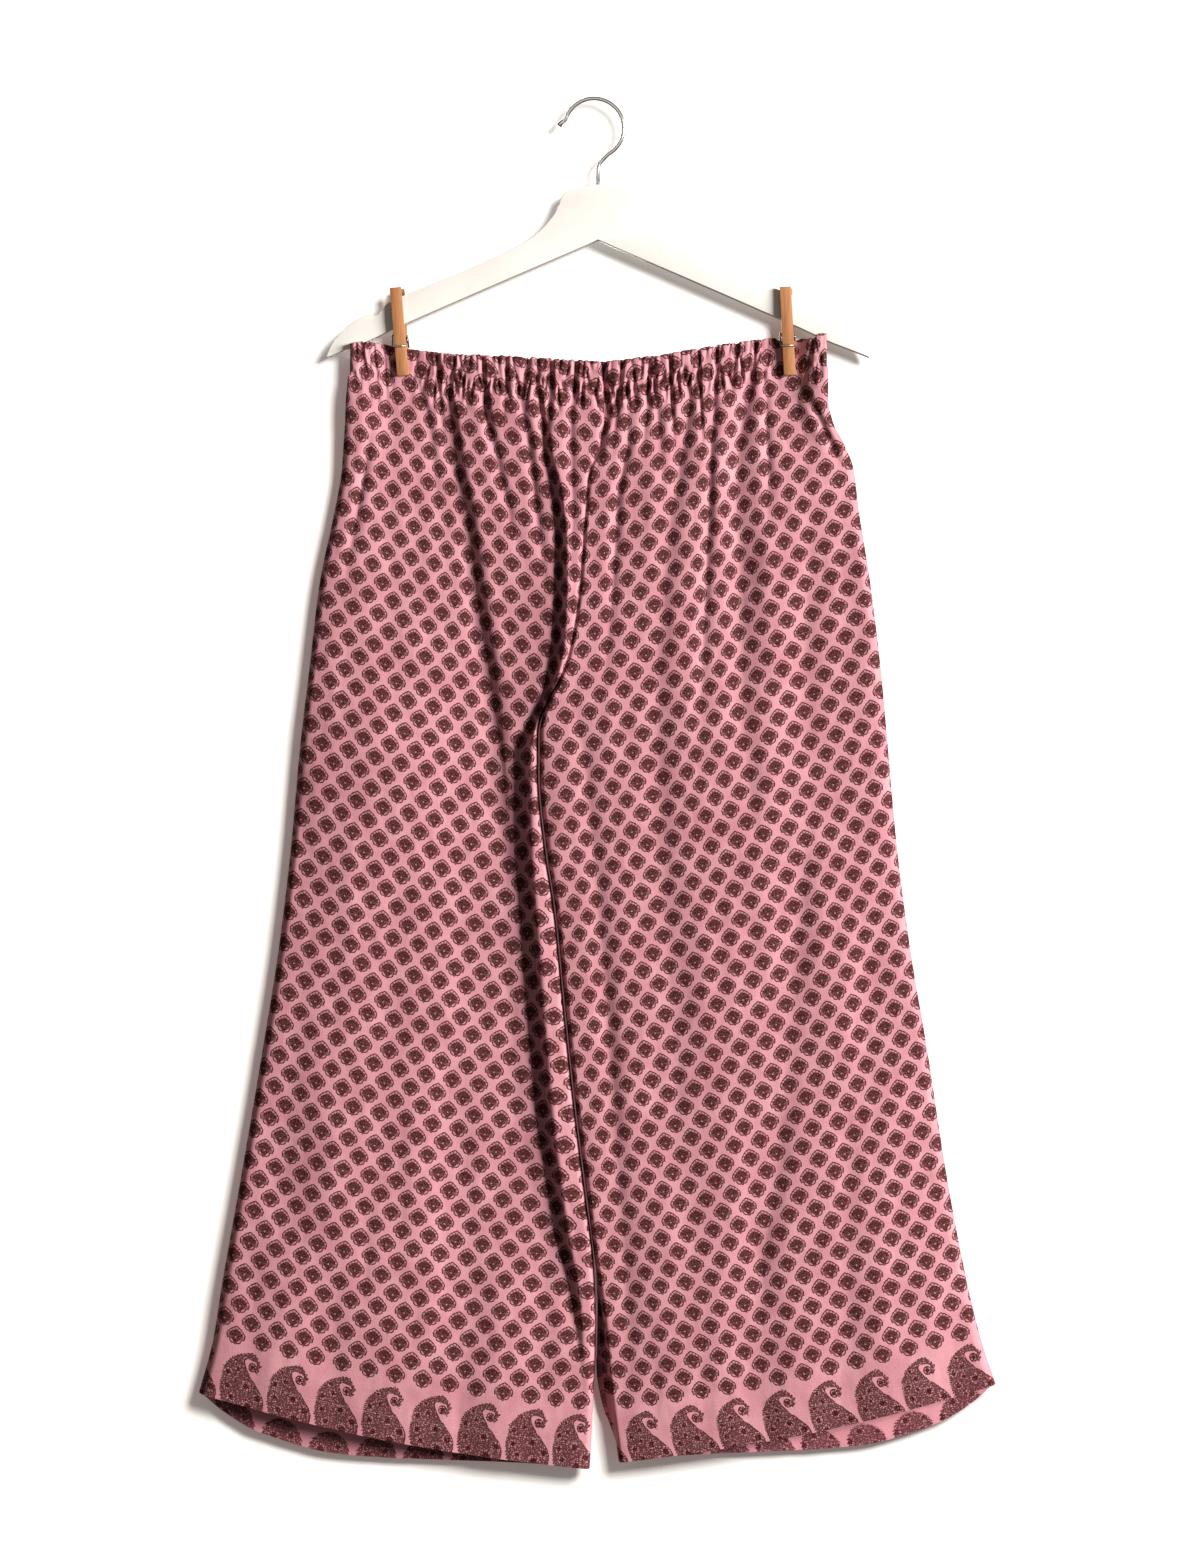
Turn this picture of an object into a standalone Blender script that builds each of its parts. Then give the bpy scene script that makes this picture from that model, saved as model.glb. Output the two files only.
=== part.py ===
"""Wide-leg palazzo pants with an elastic waist, pegged to a wooden hanger.

Metres, +Z up. The origin is the inner top of the hanger's hook, where a rail would carry it. The front of
the garment faces -Y, and left means -X, as seen from the front.
"""

import math

import bmesh
import bpy
from mathutils import Matrix, Vector

MM = 0.001
SEAM_GAP = 0.3 * MM
MERGE = 0.01 * MM  # points closer than this are one point

# Cloth walls.
CLOTH_WALL = 1.2 * MM
CASING_WALL = 2.2 * MM  # two layers of cloth with the elastic between them
CASING_HEIGHT = 25.5 * MM
WAIST_SEAM_GAP = 0.8 * MM
LIP = 1.0 * MM  # a panel's edge turns straight in by this much at every seam

# Panels as grids. The first and last ROLL_COLUMNS columns turn round a seam.
FRONT_GRID = (36, 16)  # columns and rows
BACK_GRID = (28, 16)
CASING_GRID = (76, 3)
ROLL_COLUMNS = 4
LEG_ROLL = 10 * MM
CASING_ROLL = 4 * MM
ROW_CROWDING = 1.4  # above 1, rows lie closer together near the waist
FLUTE_COLUMNS = 2  # columns from one gather to the next
WAIST_ENDS = {"left": -198 * MM, "right": 189 * MM}  # about where the casing ends
SCATTER = (12.9898, 78.233, 437.585)  # multipliers that make an uneven row of shares from whole numbers

# Where each edge of the legs runs, in millimetres, seen from the front.
SIDE_SEAMS = {
    "columns": ("z", "left", "right"),
    "rows": (
        (-190, -197.0, 188.5),
        (-222, -198.8, 189.8),
        (-243, -200.8, 189.8),
        (-263, -201.8, 194.4),
        (-280, -203.2, 203.5),
        (-300, -204.8, 211.0),
        (-330, -210.0, 214.6),
        (-392, -222.8, 224.4),
        (-468, -231.9, 233.5),
        (-520, -238.2, 238.2),
        (-608, -246.2, 246.2),
        (-689, -256.0, 256.8),
        (-770, -268.9, 270.4),
        (-875, -286.7, 286.7),
        (-960, -301.8, 303.0),
        (-1005, -309.0, 314.0),
        (-1050, -321.0, 329.0),
    ),
}
INNER_SEAMS = {
    "columns": ("z", "left", "right"),
    "rows": (
        (-205, 8.1, 8.1),
        (-262, 8.1, 8.1),
        (-283, 4.6, 4.6),
        (-303, -3.8, -3.8),
        (-330, -6.2, -6.2),
        (-404, -12.2, -12.2),
        (-447, -19.4, -19.4),
        (-470, -27.5, -27.5),
        (-492, -39.0, -39.0),
        (-513, -45.0, -44.2),
        (-546, -45.2, -44.2),
        (-609, -39.4, -38.4),
        (-655, -32.4, -31.4),
        (-748, -23.2, -22.2),
        (-815, -16.0, -15.0),
        (-895, -6.0, -5.0),
        (-940, -0.4, 0.6),
        (-985, 1.4, 6.8),
        (-1048, -0.4, 12.8),
        (-1110, -3.2, 20.8),
    ),
}
CROTCH_Z = -513 * MM
CROTCH_RISE = 55 * MM  # the centre seam dips between the legs over this height above the crotch

# The hem of each leg's front, its corners in millimetres, and how far it hangs below a straight line.
HEMS = {
    "columns": ("side", "outer_z", "inner_z", "sag"),
    "rows": (("left", -1048, -1109.5, 8.0), ("right", -1041, -1104.0, 7.5)),
}
# The back hangs lower than the front by "drop" millimetres, across a leg from its side seam (0) to its inseam (1).
BACK_HEM = {
    "columns": ("across", "drop"),
    "rows": ((0, 0), (0.06, 11), (0.15, 20), (0.3, 23), (0.45, 18), (0.6, 11), (0.8, 4), (1, 0)),
}

# The casing: its top edge, the middle plane between front and back, how far each outer face stands from it,
# and the share of the full gathers. The pegs press it flat, and its ends lie in front of the hanger's tips.
CASING = {
    "columns": ("x", "top", "middle", "spread", "gather"),
    "rows": (
        (-198.5, -199.0, -10.8, 4.2, 0.5),
        (-187.0, -197.2, -10.8, 4.2, 0.5),
        (-180.0, -197.4, -8.0, 4.2, 0.5),
        (-172.0, -198.6, -3.5, 3.6, 0.4),
        (-163.0, -200.2, 0.0, 3.0, 0.1),
        (-156.5, -201.6, 0.0, 2.9, 0.0),
        (-149.0, -202.6, 0.0, 3.0, 0.1),
        (-125.0, -205.0, 0.0, 6.2, 1.0),
        (-90.0, -206.8, 0.0, 8.6, 1.0),
        (-45.0, -209.4, 0.0, 9.8, 1.0),
        (5.0, -211.8, 0.0, 10.2, 1.0),
        (50.0, -207.2, 0.0, 9.8, 1.0),
        (92.0, -200.2, 0.0, 8.6, 1.0),
        (127.0, -195.2, 0.0, 6.2, 1.0),
        (146.5, -193.4, 0.0, 3.2, 0.3),
        (150.5, -195.8, 0.0, 3.0, 0.1),
        (158.0, -195.9, 0.0, 2.9, 0.0),
        (164.0, -195.8, 0.0, 3.0, 0.1),
        (169.0, -194.4, -4.8, 3.4, 0.3),
        (174.0, -194.6, -9.8, 4.0, 0.5),
        (178.0, -193.4, -10.8, 4.2, 0.5),
        (184.0, -190.6, -10.8, 4.2, 0.5),
        (190.0, -191.6, -10.8, 4.2, 0.5),
    ),
}
CASING_KEEP = 9 * MM  # a leg keeps the casing's depth this far below it, clear of the pegs' jaws
CASING_LOW_BLEND = 75 * MM  # and then takes its own depth over this height
GATHER_DEPTH = {"top": 1.5 * MM, "middle": 0.8 * MM, "bottom": 1.2 * MM}
GATHER_UNEVEN = 0.28  # how uneven the spacing and depth of the gathers are
FLUTE_DEPTH = 1.4 * MM
FLUTE_FADE = 48 * MM  # gathers run out into the legs over about this height

# How far a leg's middle stands out from the seam plane, in millimetres.
DEPTHS = {
    "columns": ("z", "front", "back"),
    "rows": (
        (-190, 11, 10),
        (-300, 15, 12.5),
        (-400, 18, 15),
        (-513, 19, 16),
        (-700, 17, 14),
        (-900, 16, 13),
        (-1115, 17, 15),
    ),
}
EDGE_SHARE = 0.5  # the depth beside a seam, as a share of the middle's
LEAST_DEPTH = 2.4 * MM  # no fold brings the front and back closer to the seam plane than this
CROWN_POWER = 0.7

# Folds as troughs, in millimetres. Negative depth is a ridge. Bend is how far the middle bows to +X.
FRONT_FOLDS = {
    "columns": ("x_top", "z_top", "x_low", "z_low", "bend", "width", "depth"),
    "rows": (
        (-136, -236, -80, -455, 11, 6, 5.0),
        (-66, -238, -40, -420, 6, 4, 2.2),
        (-182, -262, -202, -385, 2, 5, 2.5),
        (-41, -240, -28, -470, 6, 7, 5.0),
        (-56, -512, -10, -1030, -4, 7, 5.0),
        (27, -262, -8, -560, 8, 6, 3.5),
        (-12, -560, 38, -1040, -6, 7, 4.0),
        (71, -246, 58, -410, 0, 12, 4.0),
        (92, -240, 92, -450, 0, 4, 2.0),
        (126, -236, 116, -460, -6, 6, 5.0),
        (140, -238, 139, -320, 0, 4, 2.2),
        (163, -226, 197, -300, -2, 5, 4.0),
    ),
}
BACK_FOLDS = {
    "columns": ("x_top", "z_top", "x_low", "z_low", "bend", "width", "depth"),
    "rows": (
        (-150, -236, -120, -470, 8, 8, 4.5),
        (-88, -238, -70, -430, 4, 6, 3.5),
        (-30, -244, -36, -480, 6, 7, 3.5),
        (40, -244, 20, -500, 8, 7, 3.5),
        (96, -238, 104, -450, -6, 8, 4.5),
        (150, -230, 188, -420, 4, 7, 4.0),
        (-60, -560, -18, -1020, -4, 9, 4.0),
        (12, -600, 46, -1030, -6, 9, 4.0),
        (-190, -640, -236, -1040, 4, 14, 3.0),
        (170, -620, 214, -1040, -4, 14, 3.0),
    ),
}
FOLD_FADE_IN = 0.12
FOLD_FADE_OUT = 0.45

# The hanger, in millimetres from its own middle plane. The outline runs from the neck down to the tip.
HANGER_X = 3.2 * MM
HANGER_THICK = 10 * MM
HANGER_ROUND = 1.5 * MM
HANGER_OUTLINE = {
    "columns": ("out", "z"),
    "rows": (
        (0.0, -68.7),
        (14.0, -70.6),
        (27.0, -75.2),
        (31.5, -84.9),
        (37.0, -95.0),
        (53.0, -111.0),
        (90.0, -130.5),
        (157.0, -158.5),
        (171.0, -165.5),
        (176.5, -172.8),
        (181.5, -175.2),
        (187.0, -173.8),
        (198.0, -180.0),
        (210.0, -190.6),
        (217.0, -200.6),
        (220.5, -209.0),
        (202.0, -201.6),
        (188.0, -196.2),
        (157.0, -181.8),
        (70.0, -143.8),
        (23.0, -123.6),
        (0.0, -113.5),
    ),
}
HANGER_CORNERS = (15, 21)  # the tip and the point below the neck stay sharp
STEM_HOLE_DEEP = 16 * MM
STEM_CLEARANCE = 0.3 * MM
STEM_SIDES = 16

# The hook: round wire, an arc and a tail that ends in a small knob.
HOOK_WIRE = 1.6 * MM
HOOK_BEND = 24.1 * MM  # radius of the wire's centre line
HOOK_TAIL_ANGLE = 163
HOOK_LEAVE_ANGLE = -62
HOOK_ARC_STEPS = 26
HOOK_TAIL = ((-28.6 * MM, -21.0 * MM), (-26.6 * MM, -18.2 * MM))
HOOK_KNOB = 1.5  # the tip's radius over the wire's
HOOK_STEM = ((7.6 * MM, -47.6 * MM), (4.6 * MM, -51.2 * MM), (3.2 * MM, -55.5 * MM))
STEM_END_Z = -82 * MM

# The pegs: a side profile for each leg, from the jaw up, as (out from the middle, up) in millimetres.
PEG_WIDTH = 9.4 * MM
PEG_BESIDE = 0.6 * MM  # the casing stays flat this far past a peg's edges
PEGS = {
    "columns": ("name", "jaw_x", "jaw_z", "lean_degrees"),
    "rows": (("left", -154.7, -223.8, 4.9), ("right", 158.6, -223.4, 3.0)),
}
PEG_LEG = {
    "columns": ("out", "up"),
    "rows": (
        (3.5, 0.0),
        (3.5, 25.0),
        (4.2, 28.4),
        (4.9, 30.4),
        (4.9, 33.0),
        (5.5, 35.2),
        (5.5, 40.0),
        (7.2, 71.0),
        (7.8, 71.6),
        (10.2, 71.0),
        (11.0, 46.0),
        (10.4, 26.0),
        (9.8, 24.6),
        (8.8, 23.5),
        (9.6, 22.4),
        (9.2, 20.0),
        (7.6, 1.0),
        (6.8, 0.0),
    ),
}
SPRING_WIRE = 0.75 * MM
SPRING_COIL = 2.7 * MM  # radius of the coil's centre line
SPRING_UP = 32.0 * MM
SPRING_TURNS = 3
SPRING_STEPS = 8  # points in each turn
SPRING_HALF_WIDTH = 6.1 * MM
SPRING_BEND = 1.2 * MM
SPRING_CROSS = (10.1 * MM, 23.5 * MM)  # where the ends cross the legs: out from the middle, up


def rows_of(table):
    """The table's rows as dictionaries, one for each row."""
    return [dict(zip(table["columns"], row)) for row in table["rows"]]


def slope_through(points, place):
    """The slope of a smooth curve at one of its points: level at a peak, so that it never overshoots."""
    if place in (0, len(points) - 1):
        (x0, y0), (x1, y1) = points[:2] if place == 0 else points[-2:]
        return (y1 - y0) / (x1 - x0)
    (x0, y0), (x1, y1), (x2, y2) = points[place - 1 : place + 2]
    into, out = (y1 - y0) / (x1 - x0), (y2 - y1) / (x2 - x1)
    return 2 * into * out / (into + out) if into * out > 0 else 0


def read_curve(table, key, value, at):
    """A smooth curve through a table's rows: value where key is at, both in the table's own units."""
    points = sorted((row[key], row[value]) for row in rows_of(table))
    if at <= points[0][0]:
        return points[0][1]
    if at >= points[-1][0]:
        return points[-1][1]
    place = next(i for i in range(len(points) - 1) if at <= points[i + 1][0])
    (start, low), (end, high) = points[place], points[place + 1]
    step = end - start
    s = (at - start) / step
    return (
        low * (1 + 2 * s) * (1 - s) ** 2
        + slope_through(points, place) * step * s * (1 - s) ** 2
        + high * s * s * (3 - 2 * s)
        + slope_through(points, place + 1) * step * s * s * (s - 1)
    )


def smooth(share):
    """0 to 1 with level ends."""
    share = min(max(share, 0), 1)
    return share * share * (3 - 2 * share)


def seam_x(table, side, z):
    return read_curve(table, "z", side, z / MM) * MM


def casing_value(what, x):
    return read_curve(CASING, "x", what, x / MM) * MM


def casing_bottom(x):
    return casing_value("top", x) - CASING_HEIGHT


def below_casing(z, waist_z):
    """0 beside the casing, 1 where a leg has its own depth."""
    return smooth((waist_z - z - CASING_KEEP) / CASING_LOW_BLEND)


def fold_depth(folds, x, z):
    """How far the folds press the cloth in at a point, seen from the front."""
    total = 0
    for fold in rows_of(folds):
        share = (fold["z_top"] - z / MM) / (fold["z_top"] - fold["z_low"])
        if not 0 < share < 1:
            continue
        run = fold["x_top"] + (fold["x_low"] - fold["x_top"]) * share
        run += fold["bend"] * 4 * share * (1 - share)
        fade = smooth(share / FOLD_FADE_IN) * smooth((1 - share) / FOLD_FADE_OUT)
        total += fold["depth"] * MM * fade * math.exp(-(((x / MM - run) / fold["width"]) ** 2))
    return total


def hem_z(side, face, across):
    """The height of a leg's lower edge."""
    hem = next(row for row in rows_of(HEMS) if row["side"] == side)
    z = hem["outer_z"] + (hem["inner_z"] - hem["outer_z"]) * across
    z -= hem["sag"] * math.sin(math.pi * across)
    if face == "back":
        z -= read_curve(BACK_HEM, "across", "drop", across)
    return z * MM


def between_legs(z):
    """0 on the centre seam, 1 where the two legs are separate tubes."""
    return smooth((CROTCH_Z + CROTCH_RISE - z) / CROTCH_RISE)


def leg_depth(side, face, across, x, z, waist_z):
    """How far a leg's cloth stands out from the seam plane, away from its edges."""
    split = between_legs(z)
    crown = (1 - split) * math.sin(math.pi / 2 * across) ** CROWN_POWER
    crown += split * math.sin(math.pi * min(max(across, 0), 1)) ** CROWN_POWER
    full = read_curve(DEPTHS, "z", face, z / MM) * MM
    depth = full * (EDGE_SHARE + (1 - EDGE_SHARE) * crown)
    share = below_casing(z, waist_z)
    depth = casing_value("spread", x) * (1 - share) + depth * share
    return max(depth - fold_depth(FRONT_FOLDS if face == "front" else BACK_FOLDS, x, z), LEAST_DEPTH)


def roll(distance, radius):
    """A quarter circle: 0 at a seam, 1 from radius away."""
    share = min(max(1 - distance / radius, 0), 1)
    return math.sqrt(1 - share * share)


def distance_in(column, columns, width, radius):
    """How far in from the first edge a column lies. The first and last steps stand on the edges' lips."""
    steps = ROLL_COLUMNS - 1
    if column <= ROLL_COLUMNS:
        return radius * (1 - math.cos(math.pi / 2 * max(column - 1, 0) / steps))
    if column >= columns - ROLL_COLUMNS:
        return width - distance_in(columns - column, columns, width, radius)
    share = (column - ROLL_COLUMNS) / (columns - 2 * ROLL_COLUMNS)
    return radius + (width - 2 * radius) * share


def leg_point(side, face, column, row, columns, rows):
    """A point of a leg's outer face, counting columns from the side seam and rows from the waist."""
    down = (row / rows) ** ROW_CROWDING
    ends = []
    for table, across in ((SIDE_SEAMS, 0), (INNER_SEAMS, 1)):
        top_x = seam_x(table, side, casing_bottom(WAIST_ENDS[side]))
        top_z = casing_bottom(top_x) - WAIST_SEAM_GAP
        ends.append((top_x, top_z, top_z + (hem_z(side, face, across) - top_z) * down, table))
    (outer_top, _, outer_z, _), (inner_top, _, inner_z, _) = ends
    outer_x = seam_x(SIDE_SEAMS, side, outer_z)
    inner_x = seam_x(INNER_SEAMS, side, inner_z)
    toward = 1 if side == "left" else -1
    inner_x -= toward * SEAM_GAP / 2
    width = abs(inner_x - outer_x)
    inward = distance_in(column, columns, width, LEG_ROLL)
    across = inward / width
    x = outer_x + toward * inward
    waist_x = outer_top + (inner_top - outer_top) * across
    waist_z = casing_bottom(waist_x) - WAIST_SEAM_GAP
    z = waist_z + (hem_z(side, face, across) - waist_z) * down
    depth = leg_depth(side, face, across, x, z, waist_z)
    flutes = (columns - 2 * ROLL_COLUMNS) / FLUTE_COLUMNS
    phase = (column - ROLL_COLUMNS) / FLUTE_COLUMNS
    if 0 <= phase <= flutes:
        fade = math.exp(-(waist_z - z) / FLUTE_FADE) * read_curve(CASING, "x", "gather", x / MM)
        depth += FLUTE_DEPTH * fade * math.cos(2 * math.pi * phase)
    seam_depth = leg_depth(side, face, 1, inner_x, inner_z, waist_z)
    split = between_legs(inner_z)
    inner_edge = SEAM_GAP / 2 * split + (seam_depth - LIP) * (1 - split)
    outer_edge = SEAM_GAP / 2
    if column == 0:
        depth = outer_edge
    elif column == columns:
        depth = inner_edge
    else:
        outer_base = outer_edge + LIP
        inner_base = inner_edge + LIP
        depth = outer_base + (depth - outer_base) * roll(inward, LEG_ROLL)
        depth = inner_base + (depth - inner_base) * roll(width - inward, LEG_ROLL)
    middle = casing_value("middle", waist_x) * (1 - below_casing(z, waist_z))
    return Vector((x, middle + depth * (-1 if face == "front" else 1), z))


def uneven(number, salt):
    """An even-handed scatter between -1 and 1 for a whole number."""
    step, turn, spread = SCATTER
    return 2 * math.modf(abs(math.sin(number * step + salt * turn)) * spread)[0] - 1


def casing_columns(face, columns):
    """Where the casing's columns stand: unevenly, and with one beside each edge of each peg."""
    left = seam_x(SIDE_SEAMS, "left", casing_value("top", WAIST_ENDS["left"]))
    right = seam_x(SIDE_SEAMS, "right", casing_value("top", WAIST_ENDS["right"]))
    places = []
    for column in range(columns + 1):
        step = column
        if ROLL_COLUMNS < column < columns - ROLL_COLUMNS:
            step += GATHER_UNEVEN * uneven(column, 1 if face == "front" else 2)
        places.append(left + distance_in(step, columns, right - left, CASING_ROLL))
    for peg in rows_of(PEGS):
        for edge in (-1, 1):
            wanted = peg["jaw_x"] * MM + edge * (PEG_WIDTH / 2 + PEG_BESIDE)
            nearest = min(range(columns), key=lambda column: abs(places[column] - wanted))
            places[nearest] = wanted
    return places


def casing_point(face, places, column, row, rows):
    """A point of the casing's outer face, counting columns from the left end and rows from the top."""
    x = places[column]
    last = len(places) - 1
    z = casing_value("top", x) - CASING_HEIGHT * row / rows
    depth = casing_value("spread", x)
    if ROLL_COLUMNS <= column <= last - ROLL_COLUMNS:
        kind = "top" if row == 0 else "bottom" if row == rows else "middle"
        size = GATHER_DEPTH[kind] * (1 + GATHER_UNEVEN * uneven(column, 3 if face == "front" else 4))
        depth += size * read_curve(CASING, "x", "gather", x / MM) * (-1) ** column
    if column in (0, last):
        depth = SEAM_GAP / 2
    else:
        base = SEAM_GAP / 2 + LIP
        depth = base + (depth - base) * roll(min(x - places[0], places[-1] - x), CASING_ROLL)
    return Vector((x, casing_value("middle", x) + depth * (-1 if face == "front" else 1), z))


def plain_material(name, colour, roughness, metallic=0.0):
    material = bpy.data.materials.new(name)
    material.use_nodes = True
    shader = material.node_tree.nodes["Principled BSDF"]
    shader.inputs["Base Color"].default_value = (*colour, 1)
    shader.inputs["Roughness"].default_value = roughness
    shader.inputs["Metallic"].default_value = metallic
    return material


def add_object(name, data, material, collection):
    data.materials.append(material)
    made = bpy.data.objects.new(name, data)
    collection.objects.link(made)
    return made


def mesh_from(name, shape):
    mesh = bpy.data.meshes.new(name)
    shape.to_mesh(mesh)
    shape.free()
    return mesh


def cloth_panel(name, grid, place, face, mirrored, wall, material, collection):
    """A grid laid out by place(column, row), with a wall inside it."""
    columns, rows = grid
    shape = bmesh.new()
    bmesh.ops.create_grid(shape, x_segments=columns, y_segments=rows, size=0.5)
    for vertex in shape.verts:
        column = round((vertex.co.x + 0.5) * columns)
        row = round((0.5 - vertex.co.y) * rows)
        vertex.co = place(columns - column if mirrored else column, row)
    if face == "back":
        bmesh.ops.reverse_faces(shape, faces=shape.faces)
    panel = add_object(name, mesh_from(name, shape), material, collection)
    panel.data.shade_smooth()
    solidify = panel.modifiers.new("wall", "SOLIDIFY")
    solidify.thickness = wall
    solidify.offset = -1
    return panel


def build_legs(material, collection):
    for side in ("left", "right"):
        for face, grid in (("front", FRONT_GRID), ("back", BACK_GRID)):

            def place(column, row, side=side, face=face, grid=grid):
                return leg_point(side, face, column, row, *grid)

            cloth_panel(
                f"{face}_leg_{side}", grid, place, face, side == "right", CLOTH_WALL, material, collection
            )


def build_casing(material, collection):
    columns, rows = CASING_GRID
    for face in ("front", "back"):
        places = casing_columns(face, columns)

        def place(column, row, face=face, places=places):
            return casing_point(face, places, column, row, rows)

        cloth_panel(f"waistband_{face}", CASING_GRID, place, face, False, CASING_WALL, material, collection)


def mesh_of_curve(curve_object):
    """Makes a curve object a closed mesh object in its place."""
    graph = bpy.context.evaluated_depsgraph_get()
    mesh = bpy.data.meshes.new_from_object(curve_object.evaluated_get(graph))
    shape = bmesh.new()
    shape.from_mesh(mesh)
    bmesh.ops.remove_doubles(shape, verts=shape.verts, dist=MERGE)
    bmesh.ops.recalc_face_normals(shape, faces=shape.faces)
    shape.to_mesh(mesh)
    shape.free()
    name, collection = curve_object.name, curve_object.users_collection[0]
    bpy.data.objects.remove(curve_object)
    made = bpy.data.objects.new(name, mesh)
    collection.objects.link(made)
    return made


def build_hanger(material, collection, cutters):
    curve = bpy.data.curves.new("hanger_outline", "CURVE")
    curve.dimensions = "2D"
    curve.fill_mode = "BOTH"
    curve.extrude = HANGER_THICK / 2 - HANGER_ROUND
    curve.bevel_depth = HANGER_ROUND
    curve.bevel_resolution = 0
    curve.offset = -HANGER_ROUND
    curve.resolution_u = 2
    half = rows_of(HANGER_OUTLINE)
    loop = [(point["out"], point["z"], place in HANGER_CORNERS) for place, point in enumerate(half)]
    loop += [(-out, z, sharp) for out, z, sharp in reversed(loop[1:-1])]
    spline = curve.splines.new("BEZIER")
    spline.bezier_points.add(len(loop) - 1)
    spline.use_cyclic_u = True
    for point, (out, z, sharp) in zip(spline.bezier_points, loop):
        point.co = (HANGER_X + out * MM, z * MM, 0)
        point.handle_left_type = point.handle_right_type = "VECTOR" if sharp else "AUTO"
    body = add_object("hanger_body", curve, material, collection)
    body.matrix_world = Matrix.Rotation(math.radians(90), 4, "X")
    bpy.context.view_layer.update()
    turned = body.matrix_world.copy()
    body = mesh_of_curve(body)
    body.data.transform(turned)
    bpy.ops.mesh.primitive_cylinder_add(
        vertices=STEM_SIDES,
        radius=HOOK_WIRE + STEM_CLEARANCE,
        depth=2 * STEM_HOLE_DEEP,
        location=(HANGER_X, 0, HANGER_OUTLINE["rows"][0][1] * MM),
    )
    cutter = bpy.context.active_object
    cutter.name = "stem_hole"
    cutter.hide_render = True
    cutter.display_type = "WIRE"
    for holder in cutter.users_collection:
        holder.objects.unlink(cutter)
    cutters.objects.link(cutter)
    hole = body.modifiers.new("stem_hole", "BOOLEAN")
    hole.operation = "DIFFERENCE"
    hole.object = cutter


def wire(name, points, radius, sizes, material, collection):
    """Round wire along points, with closed ends."""
    curve = bpy.data.curves.new(name, "CURVE")
    curve.dimensions = "3D"
    curve.bevel_depth = radius
    curve.bevel_resolution = 2
    curve.use_fill_caps = True
    spline = curve.splines.new("POLY")
    spline.points.add(len(points) - 1)
    for knot, place, size in zip(spline.points, points, sizes):
        knot.co = (*place, 1)
        knot.radius = size
    return add_object(name, curve, material, collection)


def build_hook(material, collection):
    centre_z = HOOK_WIRE - HOOK_BEND
    points = [Vector((x, 0, z)) for x, z in HOOK_TAIL]
    turn = HOOK_LEAVE_ANGLE - HOOK_TAIL_ANGLE
    for step in range(HOOK_ARC_STEPS + 1):
        angle = math.radians(HOOK_TAIL_ANGLE + turn * step / HOOK_ARC_STEPS)
        points.append(Vector((HOOK_BEND * math.cos(angle), 0, centre_z + HOOK_BEND * math.sin(angle))))
    points += [Vector((x, 0, z)) for x, z in HOOK_STEM]
    points.append(Vector((HANGER_X, 0, STEM_END_Z)))
    sizes = [HOOK_KNOB, 1 + (HOOK_KNOB - 1) / 3] + [1] * (len(points) - 2)
    wire("hanger_hook", points, HOOK_WIRE, sizes, material, collection)


def peg_frame(peg):
    """Stands a peg's own axes, with its jaw's end at the origin, in its place on the hanger."""
    lean = Matrix.Rotation(math.radians(-peg["lean_degrees"]), 4, "Y")
    return Matrix.Translation((peg["jaw_x"] * MM, 0, peg["jaw_z"] * MM)) @ lean


def build_peg_leg(name, peg, front, material, collection):
    """A leg's side profile, swept across its width."""
    shape = bmesh.new()
    sign = -1 if front else 1
    profile = [
        shape.verts.new((-PEG_WIDTH / 2, sign * row["out"] * MM, row["up"] * MM)) for row in rows_of(PEG_LEG)
    ]
    side = shape.faces.new(profile)
    swept = bmesh.ops.extrude_face_region(shape, geom=[side])
    moved = [item for item in swept["geom"] if isinstance(item, bmesh.types.BMVert)]
    bmesh.ops.translate(shape, verts=moved, vec=(PEG_WIDTH, 0, 0))
    bmesh.ops.recalc_face_normals(shape, faces=shape.faces)
    leg = add_object(name, mesh_from(name, shape), material, collection)
    leg.matrix_world = peg_frame(peg)


def spring_points():
    """One wire: across the front leg, up to the coil, round it, and down across the back leg."""
    out, up = SPRING_CROSS
    half = SPRING_HALF_WIDTH
    bend = SPRING_BEND
    points = [(half - bend, -out, up), (-half + bend, -out, up), (-half, -out + bend, up + bend / 2)]
    steps = SPRING_TURNS * SPRING_STEPS
    for step in range(steps + 1):
        turn = 2 * math.pi * step / SPRING_STEPS
        x = -half + 2 * half * step / steps
        points.append((x, -SPRING_COIL * math.cos(turn), SPRING_UP + SPRING_COIL * math.sin(turn)))
    points += [(half, out - bend, up + bend / 2), (half - bend, out, up), (-half + bend, out, up)]
    return points


def build_pegs(wood, steel, collection):
    for peg in rows_of(PEGS):
        base = f"peg_{peg['name']}"
        build_peg_leg(f"{base}_front", peg, True, wood, collection)
        build_peg_leg(f"{base}_back", peg, False, wood, collection)
        points = spring_points()
        spring = wire(f"{base}_spring", points, SPRING_WIRE, [1] * len(points), steel, collection)
        spring.matrix_world = peg_frame(peg)


def main():
    for leftover in list(bpy.data.objects):
        bpy.data.objects.remove(leftover)
    garment = bpy.data.collections.new("palazzo_pants_on_hanger")
    cutters = bpy.data.collections.new("cutters")
    bpy.context.scene.collection.children.link(garment)
    bpy.context.scene.collection.children.link(cutters)
    cloth = plain_material("printed_viscose", (0.60, 0.22, 0.27), 0.7)
    paint = plain_material("white_satin_paint", (0.85, 0.84, 0.81), 0.4)
    wood = plain_material("plain_beech", (0.55, 0.31, 0.13), 0.6)
    steel = plain_material("plated_steel", (0.62, 0.63, 0.64), 0.2, 1.0)
    build_legs(cloth, garment)
    build_casing(cloth, garment)
    build_hanger(paint, garment, cutters)
    build_hook(steel, garment)
    build_pegs(wood, steel, garment)


main()
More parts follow.
